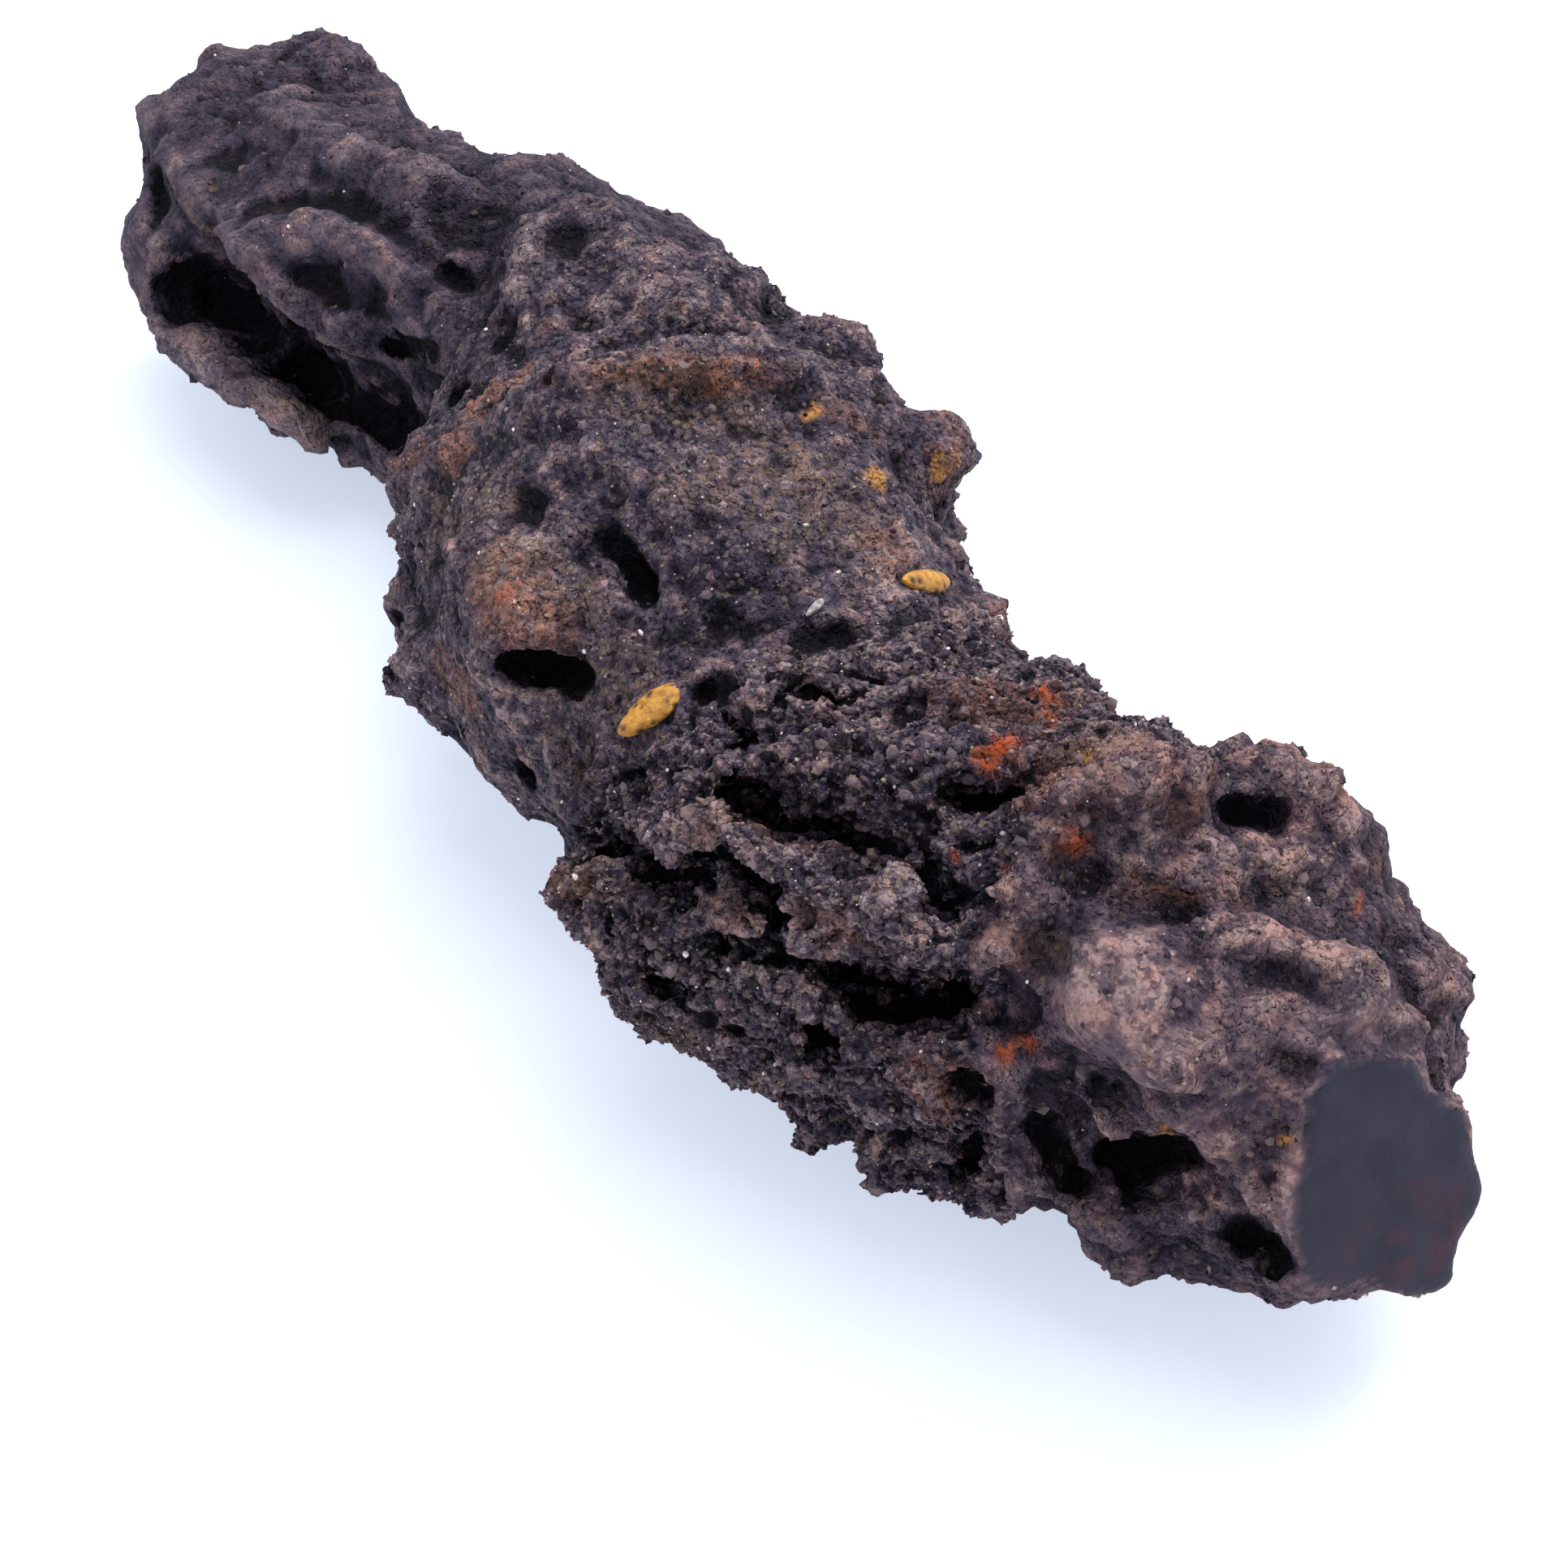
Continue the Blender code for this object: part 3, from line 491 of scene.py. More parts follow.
# Where grit lies: none at the far end, more and more between two places along x, and less where the
# near length is worn, most so low down.
SANDY_FROM, SANDY_TO = -16.0, -6.0
WORN_BELOW, WORN_FADE = 13.5, 2.5
WORN_LESS_ABOVE, GRIT_WORN_OFF = 0.7, 0.85

# The finer relief: packed mounds by size and height, higher on the near length and lower on the
# folded one; the leaves that the folded length splits into, by length, thickness and height; grains on
# the leaves by size and height; and pits by depth, size and the place of their noise, part of them
# filled where the camera sees. All of it is drawn in, to stay inside the outline.
RELIEF_NOISE = ((1.9, 0.8),)
NOISE_REACH = 0.5
CREASE_AT = 0.75
MOUNDS = ((2.5, 0.10), (1.25, 0.10), (0.7, 0.07))
NEAR_MORE, FOLDED_LESS = 0.45, 0.5
LEAVES = ((3.6, 1.0, 0.24), (1.9, 0.55, 0.15), (1.0, 0.30, 0.09))
LEAF_GRAINS = ((0.6, 0.07), (0.36, 0.05))
PITS = ((0.40, 1.25, 0.0), (0.24, 0.7, 40.0))
PIT_FROM, PIT_FADE, PITS_FILLED = 0.34, 0.16, 0.65
DRAWN_IN = 0.10

# What the materials read: for crests and swells the rounds of evening and the height that counts as
# full, the depth at which a hollow's painted shade is at its darkest, and the layers that grains carry too.
CREST, SWELL = (6, 0.10), (60, 0.45)
FULLY_DEEP = 1.2
CARRIED = ("crest", "swell", "deep", "folded", "near", "gritty", *STAINS_LIGHT_AND_SHADE)

# The grains that grow in the skin. Each kind: how many, smallest and largest half size, and how far out
# of the skin its middle sits, in half sizes.
GRAINS = {
    "crumbs": (9500, (0.08, 0.26), -0.25),
    "fine_crumbs": (9500, (0.05, 0.13), 0.0),
    "sand": (3000, (0.035, 0.115), 0.35),
}
GRAIN_SHAPES = 8
GRAIN_STRETCH, GRAIN_UNEVEN = (0.6, 1.25), (0.7, 1.2)
SMALL_FAVOUR = 2.5
FLAKES = 3200
FLAKE_SIZES = ((0.10, 0.08, 0.04), (0.30, 0.20, 0.11))
FLAKE_SINK = 0.06
FLAKE_LEAN = 25.0
FLAKE_JITTER = 0.35

# How thickly they lie: on plain skin, with grit and in the folds, less on pale and calm skin, hardly in
# hollows, and not on the calmest skin.
CRUMBS_PLAIN, CRUMBS_GRITTY, CRUMBS_FOLDED = 0.12, 0.35, 0.3
CRUMBS_MOST, CRUMBS_CALM = 1.2, 0.2
SAND_PLAIN, SAND_GRITTY, SAND_OCHRE = 0.1, 0.3, 3
FLAKES_HIDDEN, FLAKES_SEEN = 0.3, 0.7
CRUMBS_SHUT_OUT, FLAKES_SHUT_OUT = 0.85, 0.7
SHUT_FAST, OPEN_FROM, TOO_CALM = 2.5, 1.1, 0.9

# Colours, as linear red, green and blue.
STONE = (
    (0.00, (0.004, 0.003, 0.006, 1.0)),
    (0.22, (0.010, 0.008, 0.015, 1.0)),
    (0.42, (0.027, 0.021, 0.037, 1.0)),
    (0.60, (0.056, 0.043, 0.066, 1.0)),
    (0.76, (0.104, 0.077, 0.100, 1.0)),
    (0.90, (0.178, 0.130, 0.144, 1.0)),
    (1.00, (0.270, 0.202, 0.210, 1.0)),
)
BROWN_TINT = (1.26, 1.00, 0.86, 1.0)
BLUE_TINT = (0.80, 0.95, 1.20, 1.0)
SPECK_COLOUR = (0.17, 0.135, 0.10, 1.0)
# Painted shade: the near black laid into sunk skin and into the mouths of the hollows.
PAINTED_HOLLOW_SHADE = (0.003, 0.002, 0.004, 1.0)
RUST_DARK = (0.095, 0.050, 0.048, 1.0)
RUST_BRIGHT = (0.33, 0.148, 0.112, 1.0)
EMBER_COLOUR = (0.36, 0.070, 0.022, 1.0)
OCHRE_DARK = (0.095, 0.062, 0.052, 1.0)
OCHRE_BRIGHT = (0.27, 0.170, 0.112, 1.0)
GOLD_COLOUR = (0.52, 0.235, 0.055, 1.0)
TIP_DARK = (0.021, 0.020, 0.035, 1.0)
TIP_LIGHT = (0.031, 0.028, 0.046, 1.0)
TIP_BLUSH = (0.050, 0.022, 0.036, 1.0)
GLINT_COLOUR = (0.42, 0.37, 0.32, 1.0)
CRUMB_PALE = (0.17, 0.122, 0.125, 1.0)
BLACK_COLOUR = (0.006, 0.004, 0.007, 1.0)
SAND_SMOKY = (0.10, 0.076, 0.078, 1.0)
SAND_STRAW = (0.36, 0.265, 0.190, 1.0)
SAND_WHITE = (0.85, 0.76, 0.70, 1.0)
SEED_DARK = (0.30, 0.120, 0.012, 1.0)
SEED_BRIGHT = (0.56, 0.270, 0.028, 1.0)
SEED_PIT = (0.045, 0.016, 0.004, 1.0)
SPLINTER_DARK = (0.20, 0.17, 0.17, 1.0)
SPLINTER_PALE = (0.42, 0.38, 0.38, 1.0)
PAPER = (0.50, 0.505, 0.52, 1.0)
TABLE_GLOW = (0.74, 0.82, 1.0, 1.0)
TABLE_STRENGTH = 0.66
STONE_SPECULAR = 0.12
STONE_ROUGHNESS, GLINT_ROUGHNESS, TIP_ROUGHNESS = 0.78, 0.3, 0.55
CRUMB_ROUGHNESS, SAND_ROUGHNESS, SEED_ROUGHNESS, SPLINTER_ROUGHNESS = 0.8, 0.32, 0.6, 0.5
PAPER_ROUGHNESS = 0.9

# Patches of noise. Each: size, detail and roughness, then the range of it that counts and, where that
# isn't to run from 0 to 1, the values that it runs between.
CLOUDS = ((2.6, 3.0), (0.35, 0.65, 0.42, 0.62))
RIPPLES = ((0.45, 3.0, 0.65), (0.3, 0.7, -0.13, 0.13))
BROAD_RIPPLES = ((0.9, 2.0, 0.5), (0.35, 0.65, -0.09, 0.09))
BROWN_CLOUDS = ((1.3, 3.0, 0.6), (0.50, 0.60, 0.0, 0.55))
RUST_PATCHES = ((0.55, 3.0, 0.6), (0.36, 0.52))
OCHRE_PATCHES = ((0.40, 4.0, 0.7), (0.46, 0.56))
TIP_CLOUDS = ((1.6, 3.0, 0.5), (0.35, 0.65))
BLUSH_PATCHES = ((0.9, 3.0), (0.42, 0.62))
SEED_STREAKS = ((0.3, 3.0, 0.6), (0.35, 0.65))
SPLINTER_STREAKS = ((0.15, 3.0), (0.35, 0.65))
FINE_NOISE = (0.30, 3.0, 0.65)
RUST_FINE, OCHRE_FINE, SPECK_FINE = (0.40, 0.60), (0.35, 0.65), (0.34, 0.42)

# How much the stone's grains show: on grit, and by how pale the near length is.
GRIT_GRAINY, NEAR_GRAINY = 0.65, (0.2, 0.8, 0.3, 0.0)
# The grains: their size, how far they differ in tone, how sharply in colour, and which of them are
# browner, bluer or pale specks.
STONE_GRAIN = 0.18
EITHER_WAY, TONE_SPREAD, COLOUR_SPREAD = (-0.5, 0.5), (0.12, 0.46), (0.25, 1.0)
BROWN_GRAINS, BLUE_GRAINS = (0.55, 0.75, 0.0, 0.35), (0.30, 0.10, 0.0, 0.3)
ODD_GRAINS, ODD_STRENGTH = (0.93, 0.96), (0.2, 0.8)
RIPPLED = (0.0, 0.6, 0.45, 1.0)
NEAR_BROWN = 0.42
# How much lighter or darker each layer makes the stone: crest and swell are painted light on crests and
# painted shade in hollows, and pale and black are partly painted light and shade.
LIGHTER = {"crest": 0.13, "swell": 0.10, "pale": 0.32, "near": 0.04, "black": -0.20}
# How sunk the skin is where painted shade turns it dark, less so on the near length, and how deep a
# hollow's mouth is that painted shade blackens.
SHADED, SHADED_LESS_NEAR = (-0.6, -1.7), (0.75, 0.3)
MOUTH_SUNK, MOUTH_DEEP = (0.6, -0.1), (0.3, 0.75)
# Glints: cell size, share of the cells, the fade between those and the rest, their cores, and how open
# the skin has to be.
GLINT_SIZE, GLINT_SHARE, GLINT_FADE = 0.13, 0.02, 0.004
GLINT_CORE, GLINT_OPEN = (0.42, 0.3), (-0.4, 0.0)
# Crumbs: which tones are pale, in what shallow hollows, and which are dark.
CRUMB_LIGHT, CRUMB_SHALLOW, CRUMB_DARK = (0.55, 1.0, 0.0, 0.8), (0.5, 0.1), (0.35, 0.0, 0.0, 0.8)
# Sand: which tones turn straw and white, and how far stains colour it.
STRAW_TONES, WHITE_TONES, SAND_STAINED = (0.25, 0.95), (0.82, 0.90), 0.7

# Bumps too fine to model: how much is left on the sheared face and on calm skin, noise with its height,
# and cells. Each of those: size, reach from the middle, level at the middle and at that reach, height.
TIP_BUMPS, CALM_BUMPS = 0.12, 0.35
COARSE_NOISE, COARSE_BUMP = (0.8, 4.0, 0.7, 0.4), 0.40
CELL_BUMPS = ((0.30, 0.7, 1.0, 0.0, 0.14), (0.42, 0.35, 0.0, 1.0, 0.10), (0.16, 0.6, 1.0, 0.0, 0.07))
CRUMB_BUMPS, SAND_BUMPS = ((0.15, 2.0), 0.05), ((0.08, 2.0), 0.02)
SEED_BUMPS, SPLINTER_BUMPS = ((0.12, 3.0, 0.6), 0.05), ((0.1, 2.0), 0.03)
# Grains' edges wander by noise of this size and amount.
DRIFT_SIZE, DRIFT = 0.5, 0.25

# The studio: a floor, a pale sky, what the lights aim at, and soft lights as place, size, watts and
# colour.
FLOOR_HALF = 600.0
LIT_POINT = Vector((0.0, 0.0, 8.0))
SKY = (0.90, 0.95, 1.0, 1.0)
SKY_STRENGTH = 0.95
LIGHTS = {
    "window": ((-90.0, 300.0, 400.0), 240.0, 1.5, (1.0, 0.985, 0.96)),
    "ceiling": ((-20.0, 60.0, 520.0), 400.0, 1.75, (1.0, 1.0, 1.0)),
}


def toward_camera():
    return (CAMERA_AT - CAMERA_TO).normalized()


def camera_axes():
    """The picture's right and up, and the way back to the camera."""
    back = toward_camera()
    right = Vector((-back.y, back.x, 0.0)).normalized()
    return right, back.cross(right), back


def picture_axes():
    """The same three axes as arrays."""
    return [np.array(axis) for axis in camera_axes()]


def pixel_ray(pixel):
    right, up, back = camera_axes()
    reach = math.tan(math.radians(FIELD_OF_VIEW / 2))
    across = (pixel[0] / (PHOTO / 2) - 1) * reach
    down = (pixel[1] / (PHOTO / 2) - 1) * reach
    return (across * right - down * up - back).normalized()


def coords(mesh):
    flat = np.empty(len(mesh.vertices) * 3)
    mesh.vertices.foreach_get("co", flat)
    return flat.reshape(-1, 3) / MM


def set_coords(mesh, points):
    mesh.vertices.foreach_set("co", (points * MM).ravel())
    mesh.update()


def normals(mesh):
    flat = np.empty(len(mesh.vertices) * 3)
    mesh.vertices.foreach_get("normal", flat)
    return flat.reshape(-1, 3)


def triangles_of(mesh):
    mesh.calc_loop_triangles()
    corners = np.empty(len(mesh.loop_triangles) * 3, dtype=np.int32)
    mesh.loop_triangles.foreach_get("vertices", corners)
    return corners.reshape(-1, 3)


def skin_tree(mesh):
    return BVHTree.FromPolygons(coords(mesh).tolist(), triangles_of(mesh).tolist())


def squarely(facing):
    """How squarely each normal faces the camera, from -1 to 1."""
    return facing @ np.array(toward_camera())


def sight(facing, past):
    """How well the camera sees each normal's face, from 0 to 1, fading out past edge-on."""
    return ease(squarely(facing) * SIGHT_FADE + past)


def laid_on(tree, pixels):
    """Where the camera's rays through some pixels meet the skin, and the way that it faces there."""
    points = []
    facing = Vector()
    for pixel in pixels:
        point, normal, _, _ = tree.ray_cast(CAMERA_AT, pixel_ray(pixel))
        if point is None:
            continue
        points.append(point)
        facing += normal
    return points, facing


def distance_to(points, line):
    """How far each point is from a line through several places."""
    nearest = np.full(len(points), np.inf)
    for start, end in zip(line, line[1:] or line):
        start, end = np.array(start), np.array(end)
        way = end - start
        along = (points - start) @ way / max(way @ way, TINY)
        closest = start + np.clip(along, 0, 1)[:, None] * way
        nearest = np.minimum(nearest, np.linalg.norm(points - closest, axis=1))
    return nearest


def ease(values):
    values = np.clip(values, 0, 1)
    return values * values * (3 - 2 * values)


def field(points, size, amount, vector=False):
    """Smooth noise of a size, one value or one vector for each point."""
    sample = noise.noise_vector if vector else noise.noise
    return np.array([sample(Vector(point)) for point in points / size]) * amount


def shaken(points, noises):
    """The points moved by noise of some sizes, so that what is measured from them has ragged edges."""
    moved = points
    for size, amount in noises:
        moved = moved + field(points, size, amount, vector=True)
    return moved


def mounds(points, size):
    """Rounded lumps of a size, packed against each other, from about -1 in the creases to 1."""
    nearest = np.array([noise.voronoi(Vector(point))[0][0] for point in points / size])
    return 1 - 2 * np.clip(nearest / CREASE_AT, 0, 1) ** 2


def ridges(points, size):
    """Sharp crests between broad hollows, from -1 to 1."""
    return 1 - 2 * np.abs(field(points, size, 1.0)) / NOISE_REACH


def lines_on(tree, table, sign):
    """Each row of a table laid on the skin: how far to move it there, half width, line and direction."""
    lines = []
    for amount, half_width, *pixels in table:
        points, facing = laid_on(tree, pixels)
        if points:
            way = facing.normalized()
            if sign < 0:
                way = (way + toward_camera() * INTO_THE_PICTURE).normalized()
            lines.append((amount * sign, half_width, points, way))
    return lines


def lines_elsewhere(tree, mesh, count, amounts, half_widths, sign, chance):
    """Lines like those of the tables, at random on the sides that the camera doesn't see."""
    points, facings = coords(mesh), normals(mesh)
    hidden = np.flatnonzero((squarely(facings) < TURNED_AWAY) & (points[:, 2] > CLEAR_OF_FLOOR))
    lines = []
    for _ in range(count):
        start = hidden[chance.randrange(len(hidden))]
        point, facing = Vector(points[start]), Vector(facings[start])
        line = [point]
        way = facing.orthogonal().normalized()
        way.rotate(Quaternion(facing, chance.uniform(0, 2 * math.pi)))
        for _ in range(chance.randrange(STEPS_BELOW)):
            step = line[-1] + way * chance.uniform(*STEP)
            line.append(tree.find_nearest(step)[0])
        lines.append((sign * chance.uniform(*amounts), chance.uniform(*half_widths), line, facing))
    return lines


def under_line(points, ragged, line, half_width, steepness):
    """The points that a line acts on, and how strongly, from 0 at its ragged edge to 1."""
    near = np.flatnonzero(np.linalg.norm(points - np.array(line[0]), axis=1) < LINE_REACH)
    return near, ease((1 - distance_to(ragged[near], line) / half_width) * steepness)


def sculpted(mesh, lines):
    """Moves the skin along every line."""
    points = coords(mesh)
    ragged = shaken(points, EDGE_NOISE)
    moved = points.copy()
    for amount, half_width, line, way in lines:
        near, share = under_line(points, ragged, line, half_width, STEEPNESS)
        moved[near] += share[:, None] * amount * np.array(way)
    set_coords(mesh, moved)


def in_picture(points):
    """Where the camera sees each point, in pixels."""
    right, up, back = picture_axes()
    way = points - np.array(CAMERA_AT)
    scale = PHOTO / 2 / math.tan(math.radians(FIELD_OF_VIEW / 2)) / -(way @ back)
    return np.stack((PHOTO / 2 + way @ right * scale, PHOTO / 2 - way @ up * scale), axis=1)


def outlined(mesh):
    """Moves the skin across the picture along the outline's strokes."""
    right, up, _ = picture_axes()
    points = coords(mesh)
    seen_at = in_picture(shaken(points, OUTLINE_NOISE))
    moved = points.copy()
    for amount, half_width, angle, *pixels in OUTLINE.values():
        share = ease((1 - distance_to(seen_at, pixels) / half_width) * STEEPNESS)
        turn = math.radians(angle)
        moved += share[:, None] * amount * (right * math.cos(turn) + up * math.sin(turn))
    set_coords(mesh, moved)


def linked(name, data):
    """A new object in the scene."""
    obj = bpy.data.objects.new(name, data)
    bpy.context.scene.collection.objects.link(obj)
    return obj


def applied(obj):
    """The object's mesh as its modifiers make it. The object itself goes."""
    made = bpy.data.meshes.new_from_object(obj.evaluated_get(bpy.context.evaluated_depsgraph_get()))
    bpy.data.objects.remove(obj, do_unlink=True)
    return made


def melted(mesh, rounded=False):
    """The mesh made over as one even skin."""
    obj = linked("melted", mesh)
    if rounded:
        subdivide = obj.modifiers.new("rounded", "SUBSURF")
        subdivide.levels = subdivide.render_levels = 1
    remesh = obj.modifiers.new("one skin", "REMESH")
    remesh.mode = "VOXEL"
    remesh.voxel_size = VOXEL * MM
    return applied(obj)


def thinned(mesh, chosen):
    """The mesh with fewer faces, the chosen ones going first."""
    obj = linked("thinned", mesh)
    group = obj.vertex_groups.new(name="thinned")
    group.add(np.flatnonzero(chosen).tolist(), 1.0, "REPLACE")
    decimate = obj.modifiers.new("fewer faces", "DECIMATE")
    decimate.ratio = FACES_LEFT
    decimate.vertex_group = group.name
    decimate.vertex_group_factor = HIDDEN_FAVOUR
    return applied(obj)


def finer(mesh, chosen):
    """The mesh with its chosen faces split."""
    bm = bmesh.new()
    bm.from_mesh(mesh)
    edges = [edge for edge in bm.edges if all(chosen[vert.index] for vert in edge.verts)]
    bmesh.ops.subdivide_edges(bm, edges=edges, cuts=1, use_grid_fill=True)
    return freed(bm, "finer")


def freed(bm, name):
    """A worked mesh as a new one of that name."""
    mesh = bpy.data.meshes.new(name)
    bm.to_mesh(mesh)
    bm.free()
    return mesh


def bare_skin():
    """The solid's surface, its shared corners joined."""
    bm = bmesh.new()
    bm.from_mesh(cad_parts[NODE].data)
    bmesh.ops.remove_doubles(bm, verts=bm.verts, dist=JOIN)
    return freed(bm, "bare")


def filled(mesh):
    """Fills the hollows that the camera sees, so that the tables can cut them in their true places."""
    points, facing = coords(mesh), normals(mesh)
    smooth = evened(points, edges_of(mesh), FILL_ROUNDS)
    sunk = np.einsum("ij,ij->i", smooth - points, facing)
    share = ease(sunk / FILL_FROM) * sight(facing, FILL_SIGHT)
    set_coords(mesh, kept_in(points + (smooth - points) * share[:, None]))


def share_along(points):
    """How far each point belongs to the folded length, and to the near one, from 0 to 1."""
    height = np.maximum(points[:, 2] - BORDER_LEVEL, 0)
    folded_from = FOLD_X + FOLD_LEAN * height + FOLD_SKEW * (points[:, 1] - FOLD_Y)
    near_from = NEAR_X + NEAR_LEAN * height
    past_fold = ease((points[:, 0] - folded_from) / FOLD_FADE + 0.5)
    near = ease((points[:, 0] - near_from) / NEAR_FADE + 0.5)
    return past_fold * (1 - near), near


def beyond_tip(points):
    return (points - np.array(TIP_CENTRE)) @ np.array(TIP_FACING)


def tip_share(points, width, before):
    """How far each point belongs to the sheared tip, from 0 to 1."""
    return ease(beyond_tip(points) / width + before)


def painted(points, lines):
    """How strongly a set of stains, or of painted light and shade, covers each point."""
    ragged = shaken(points, PAINT_NOISE)
    cover = np.zeros(len(points))
    for amount, half_width, line, _ in lines:
        near, share = under_line(points, ragged, line, half_width * PAINT_OUT, PAINT_STEEPNESS)
        cover[near] = np.maximum(cover[near], share * abs(amount))
    return cover


def relief(points, calm, seen):
    """How far the skin stands out at each point from its packed lumps, folds and pits."""
    folded, near = share_along(points)
    drawn = shaken(points, RELIEF_NOISE)
    height = sum(mounds(drawn, size) * amount for size, amount in MOUNDS)
    height *= 1 + NEAR_MORE * near - FOLDED_LESS * folded
    right, up, back = picture_axes()
    for length, thickness, amount in LEAVES:
        axes = (drawn @ right / length, drawn @ up / thickness, drawn @ back / thickness)
        height += folded * ridges(np.stack(axes, axis=1), 1.0) * amount
    for size, amount in LEAF_GRAINS:
        height += folded * seen * mounds(drawn, size) * amount
    pits = sum(
        depth * ease((field(points + place, size, 1.0) - PIT_FROM) / PIT_FADE)
        for depth, size, place in PITS)
    return (height - DRAWN_IN - pits * (1 - PITS_FILLED * seen)) * (1 - calm)


def sunk_lines(lines):
    """The hollows' lines again at their mouths, half way in and at their bottoms, to paint shade into the
    hollows and keep grains out of them.
    """
    made = []
    for amount, half_width, line, way in lines:
        for part in (0.0, 0.5, 1.0):
            moved = [point + way * (amount * part) for point in line]
            made.append((min(abs(amount) / FULLY_DEEP, 1.0), half_width, moved, way))
    return made


def edges_of(mesh):
    ends = np.empty(len(mesh.edges) * 2, dtype=np.int32)
    mesh.edges.foreach_get("vertices", ends)
    return ends.reshape(-1, 2)


def evened(points, edges, rounds):
    """The points drawn towards their neighbours again and again."""
    ends = np.concatenate((edges, edges[:, ::-1]))
    count = np.bincount(ends[:, 0], minlength=len(points))[:, None]
    for _ in range(rounds):
        total = np.stack([
            np.bincount(ends[:, 0], weights=points[ends[:, 1], axis], minlength=len(points))
            for axis in range(3)], axis=1)
        points = total / count
    return points


def standing_out(mesh, rounds, span):
    """How far each vertex stands proud of the skin around it, from -1 in a hollow to 1 on a crest."""
    points = coords(mesh)
    smooth = evened(points, edges_of(mesh), rounds)
    return np.clip(np.einsum("ij,ij->i", points - smooth, normals(mesh)) / span, -1, 1)


def store(mesh, name, values):
    layer = mesh.attributes.new(name, "FLOAT", "POINT")
    layer.data.foreach_set("value", np.asarray(values, dtype=np.float32))


def values_of(mesh, name):
    values = np.empty(len(mesh.vertices), dtype=np.float32)
    mesh.attributes[name].data.foreach_get("value", values)
    return values


def kept_in(points):
    """Nothing passes the plane of the sheared tip or the surface that the object lies on."""
    over = np.maximum(beyond_tip(points), 0)
    points = points - over[:, None] * np.array(TIP_FACING)
    points[:, 2] = np.maximum(points[:, 2], 0)
    return points


def make_skin(chance):
    """The skin: hollows, lumps, then finer relief, with what the material needs stored on it."""
    mesh = melted(bare_skin(), rounded=True)
    filled(mesh)
    set_coords(mesh, kept_in(evened(coords(mesh), edges_of(mesh), BASE_ROUNDS)))
    tree = skin_tree(mesh)
    lumps = lines_on(tree, LUMPS.values(), 1)
    lumps += lines_elsewhere(tree, mesh, *LUMPS_ELSEWHERE, 1, chance)
    hollows = lines_on(tree, HOLLOWS.values(), -1)
    hollows += lines_elsewhere(tree, mesh, *HOLLOWS_ELSEWHERE, -1, chance)
    # The stains hold the pale and black layers too, which are partly painted light and shade.
    stains = {}
    for name, (table, elsewhere, widths) in STAINS_LIGHT_AND_SHADE.items():
        stains[name] = lines_on(tree, table, 1)
        stains[name] += lines_elsewhere(tree, mesh, elsewhere, STRENGTHS_ELSEWHERE, widths, 1, chance)
    outlined(mesh)
    sculpted(mesh, lumps + hollows)
    set_coords(mesh, kept_in(coords(mesh)))
    mesh = melted(mesh)
    mesh = thinned(mesh, squarely(normals(mesh)) < HIDDEN_BELOW)
    folded, _ = share_along(coords(mesh))
    mesh = finer(mesh, (folded > 0.5) & (squarely(normals(mesh)) > HIDDEN_BELOW))
    points, facing = coords(mesh), normals(mesh)
    on_tip = tip_share(points, *TIP_FACE)
    calm = np.maximum(painted(points, lines_on(tree, SMOOTH, 1)), tip_share(points, *TIP_RIM))
    raised = relief(points, calm, sight(facing, RELIEF_SIGHT))
    set_coords(mesh, kept_in(points + facing * raised[:, None]))
    points = coords(mesh)
    folded, near = share_along(points)
    store(mesh, "crest", standing_out(mesh, *CREST))
    store(mesh, "swell", standing_out(mesh, *SWELL))
    store(mesh, "tip", on_tip)
    store(mesh, "folded", folded)
    store(mesh, "near", near)
    store(mesh, "calm", calm)
    # Where the hollows lie, for their painted shade and to keep grains out of them.
    store(mesh, "deep", painted(points, sunk_lines(hollows)) * (1 - on_tip))
    sandy = ease((points[:, 0] - SANDY_FROM) / (SANDY_TO - SANDY_FROM))
    worn = near * (1 - WORN_LESS_ABOVE * ease((points[:, 2] - WORN_BELOW) / WORN_FADE))
    store(mesh, "gritty", sandy * (1 - GRIT_WORN_OFF * worn))
    for name, lines in stains.items():
        store(mesh, name, painted(points, lines) * (1 - on_tip))
    store(mesh, "blush", painted(points, lines_on(tree, BLUSH, 1)))
    mesh.shade_smooth()
    return mesh


def scattered(mesh, count, weight, rng):
    """Random places on the skin, thicker where the weight is more: corner numbers, points and normals."""
    triangles = triangles_of(mesh)
    corners = coords(mesh)[triangles]
    cross = np.cross(corners[:, 1] - corners[:, 0], corners[:, 2] - corners[:, 0])
    area = np.linalg.norm(cross, axis=1)
    odds = area * weight[triangles].mean(axis=1)
    chosen = rng.choice(len(triangles), size=count, p=odds / odds.sum())
    shares = rng.dirichlet((1, 1, 1), size=count)
    points = np.einsum("ij,ijk->ik", shares, corners[chosen])
    return triangles[chosen, 0], points, cross[chosen] / area[chosen, None]


def grain_shapes(rng):
    """A few irregular grains with flat faces, each of 12 corners."""
    bm = bmesh.new()
    bmesh.ops.create_icosphere(bm, subdivisions=1, radius=1.0)
    corners = np.array([vert.co for vert in bm.verts])
    faces = np.array([[vert.index for vert in face.verts] for face in bm.faces])
    bm.free()
    shapes = []
    for _ in range(GRAIN_SHAPES):
        stretch = rng.uniform(*GRAIN_STRETCH, size=(1, 3))
        shapes.append(corners * stretch * rng.uniform(*GRAIN_UNEVEN, size=(len(corners), 1)))
    return np.array(shapes), faces


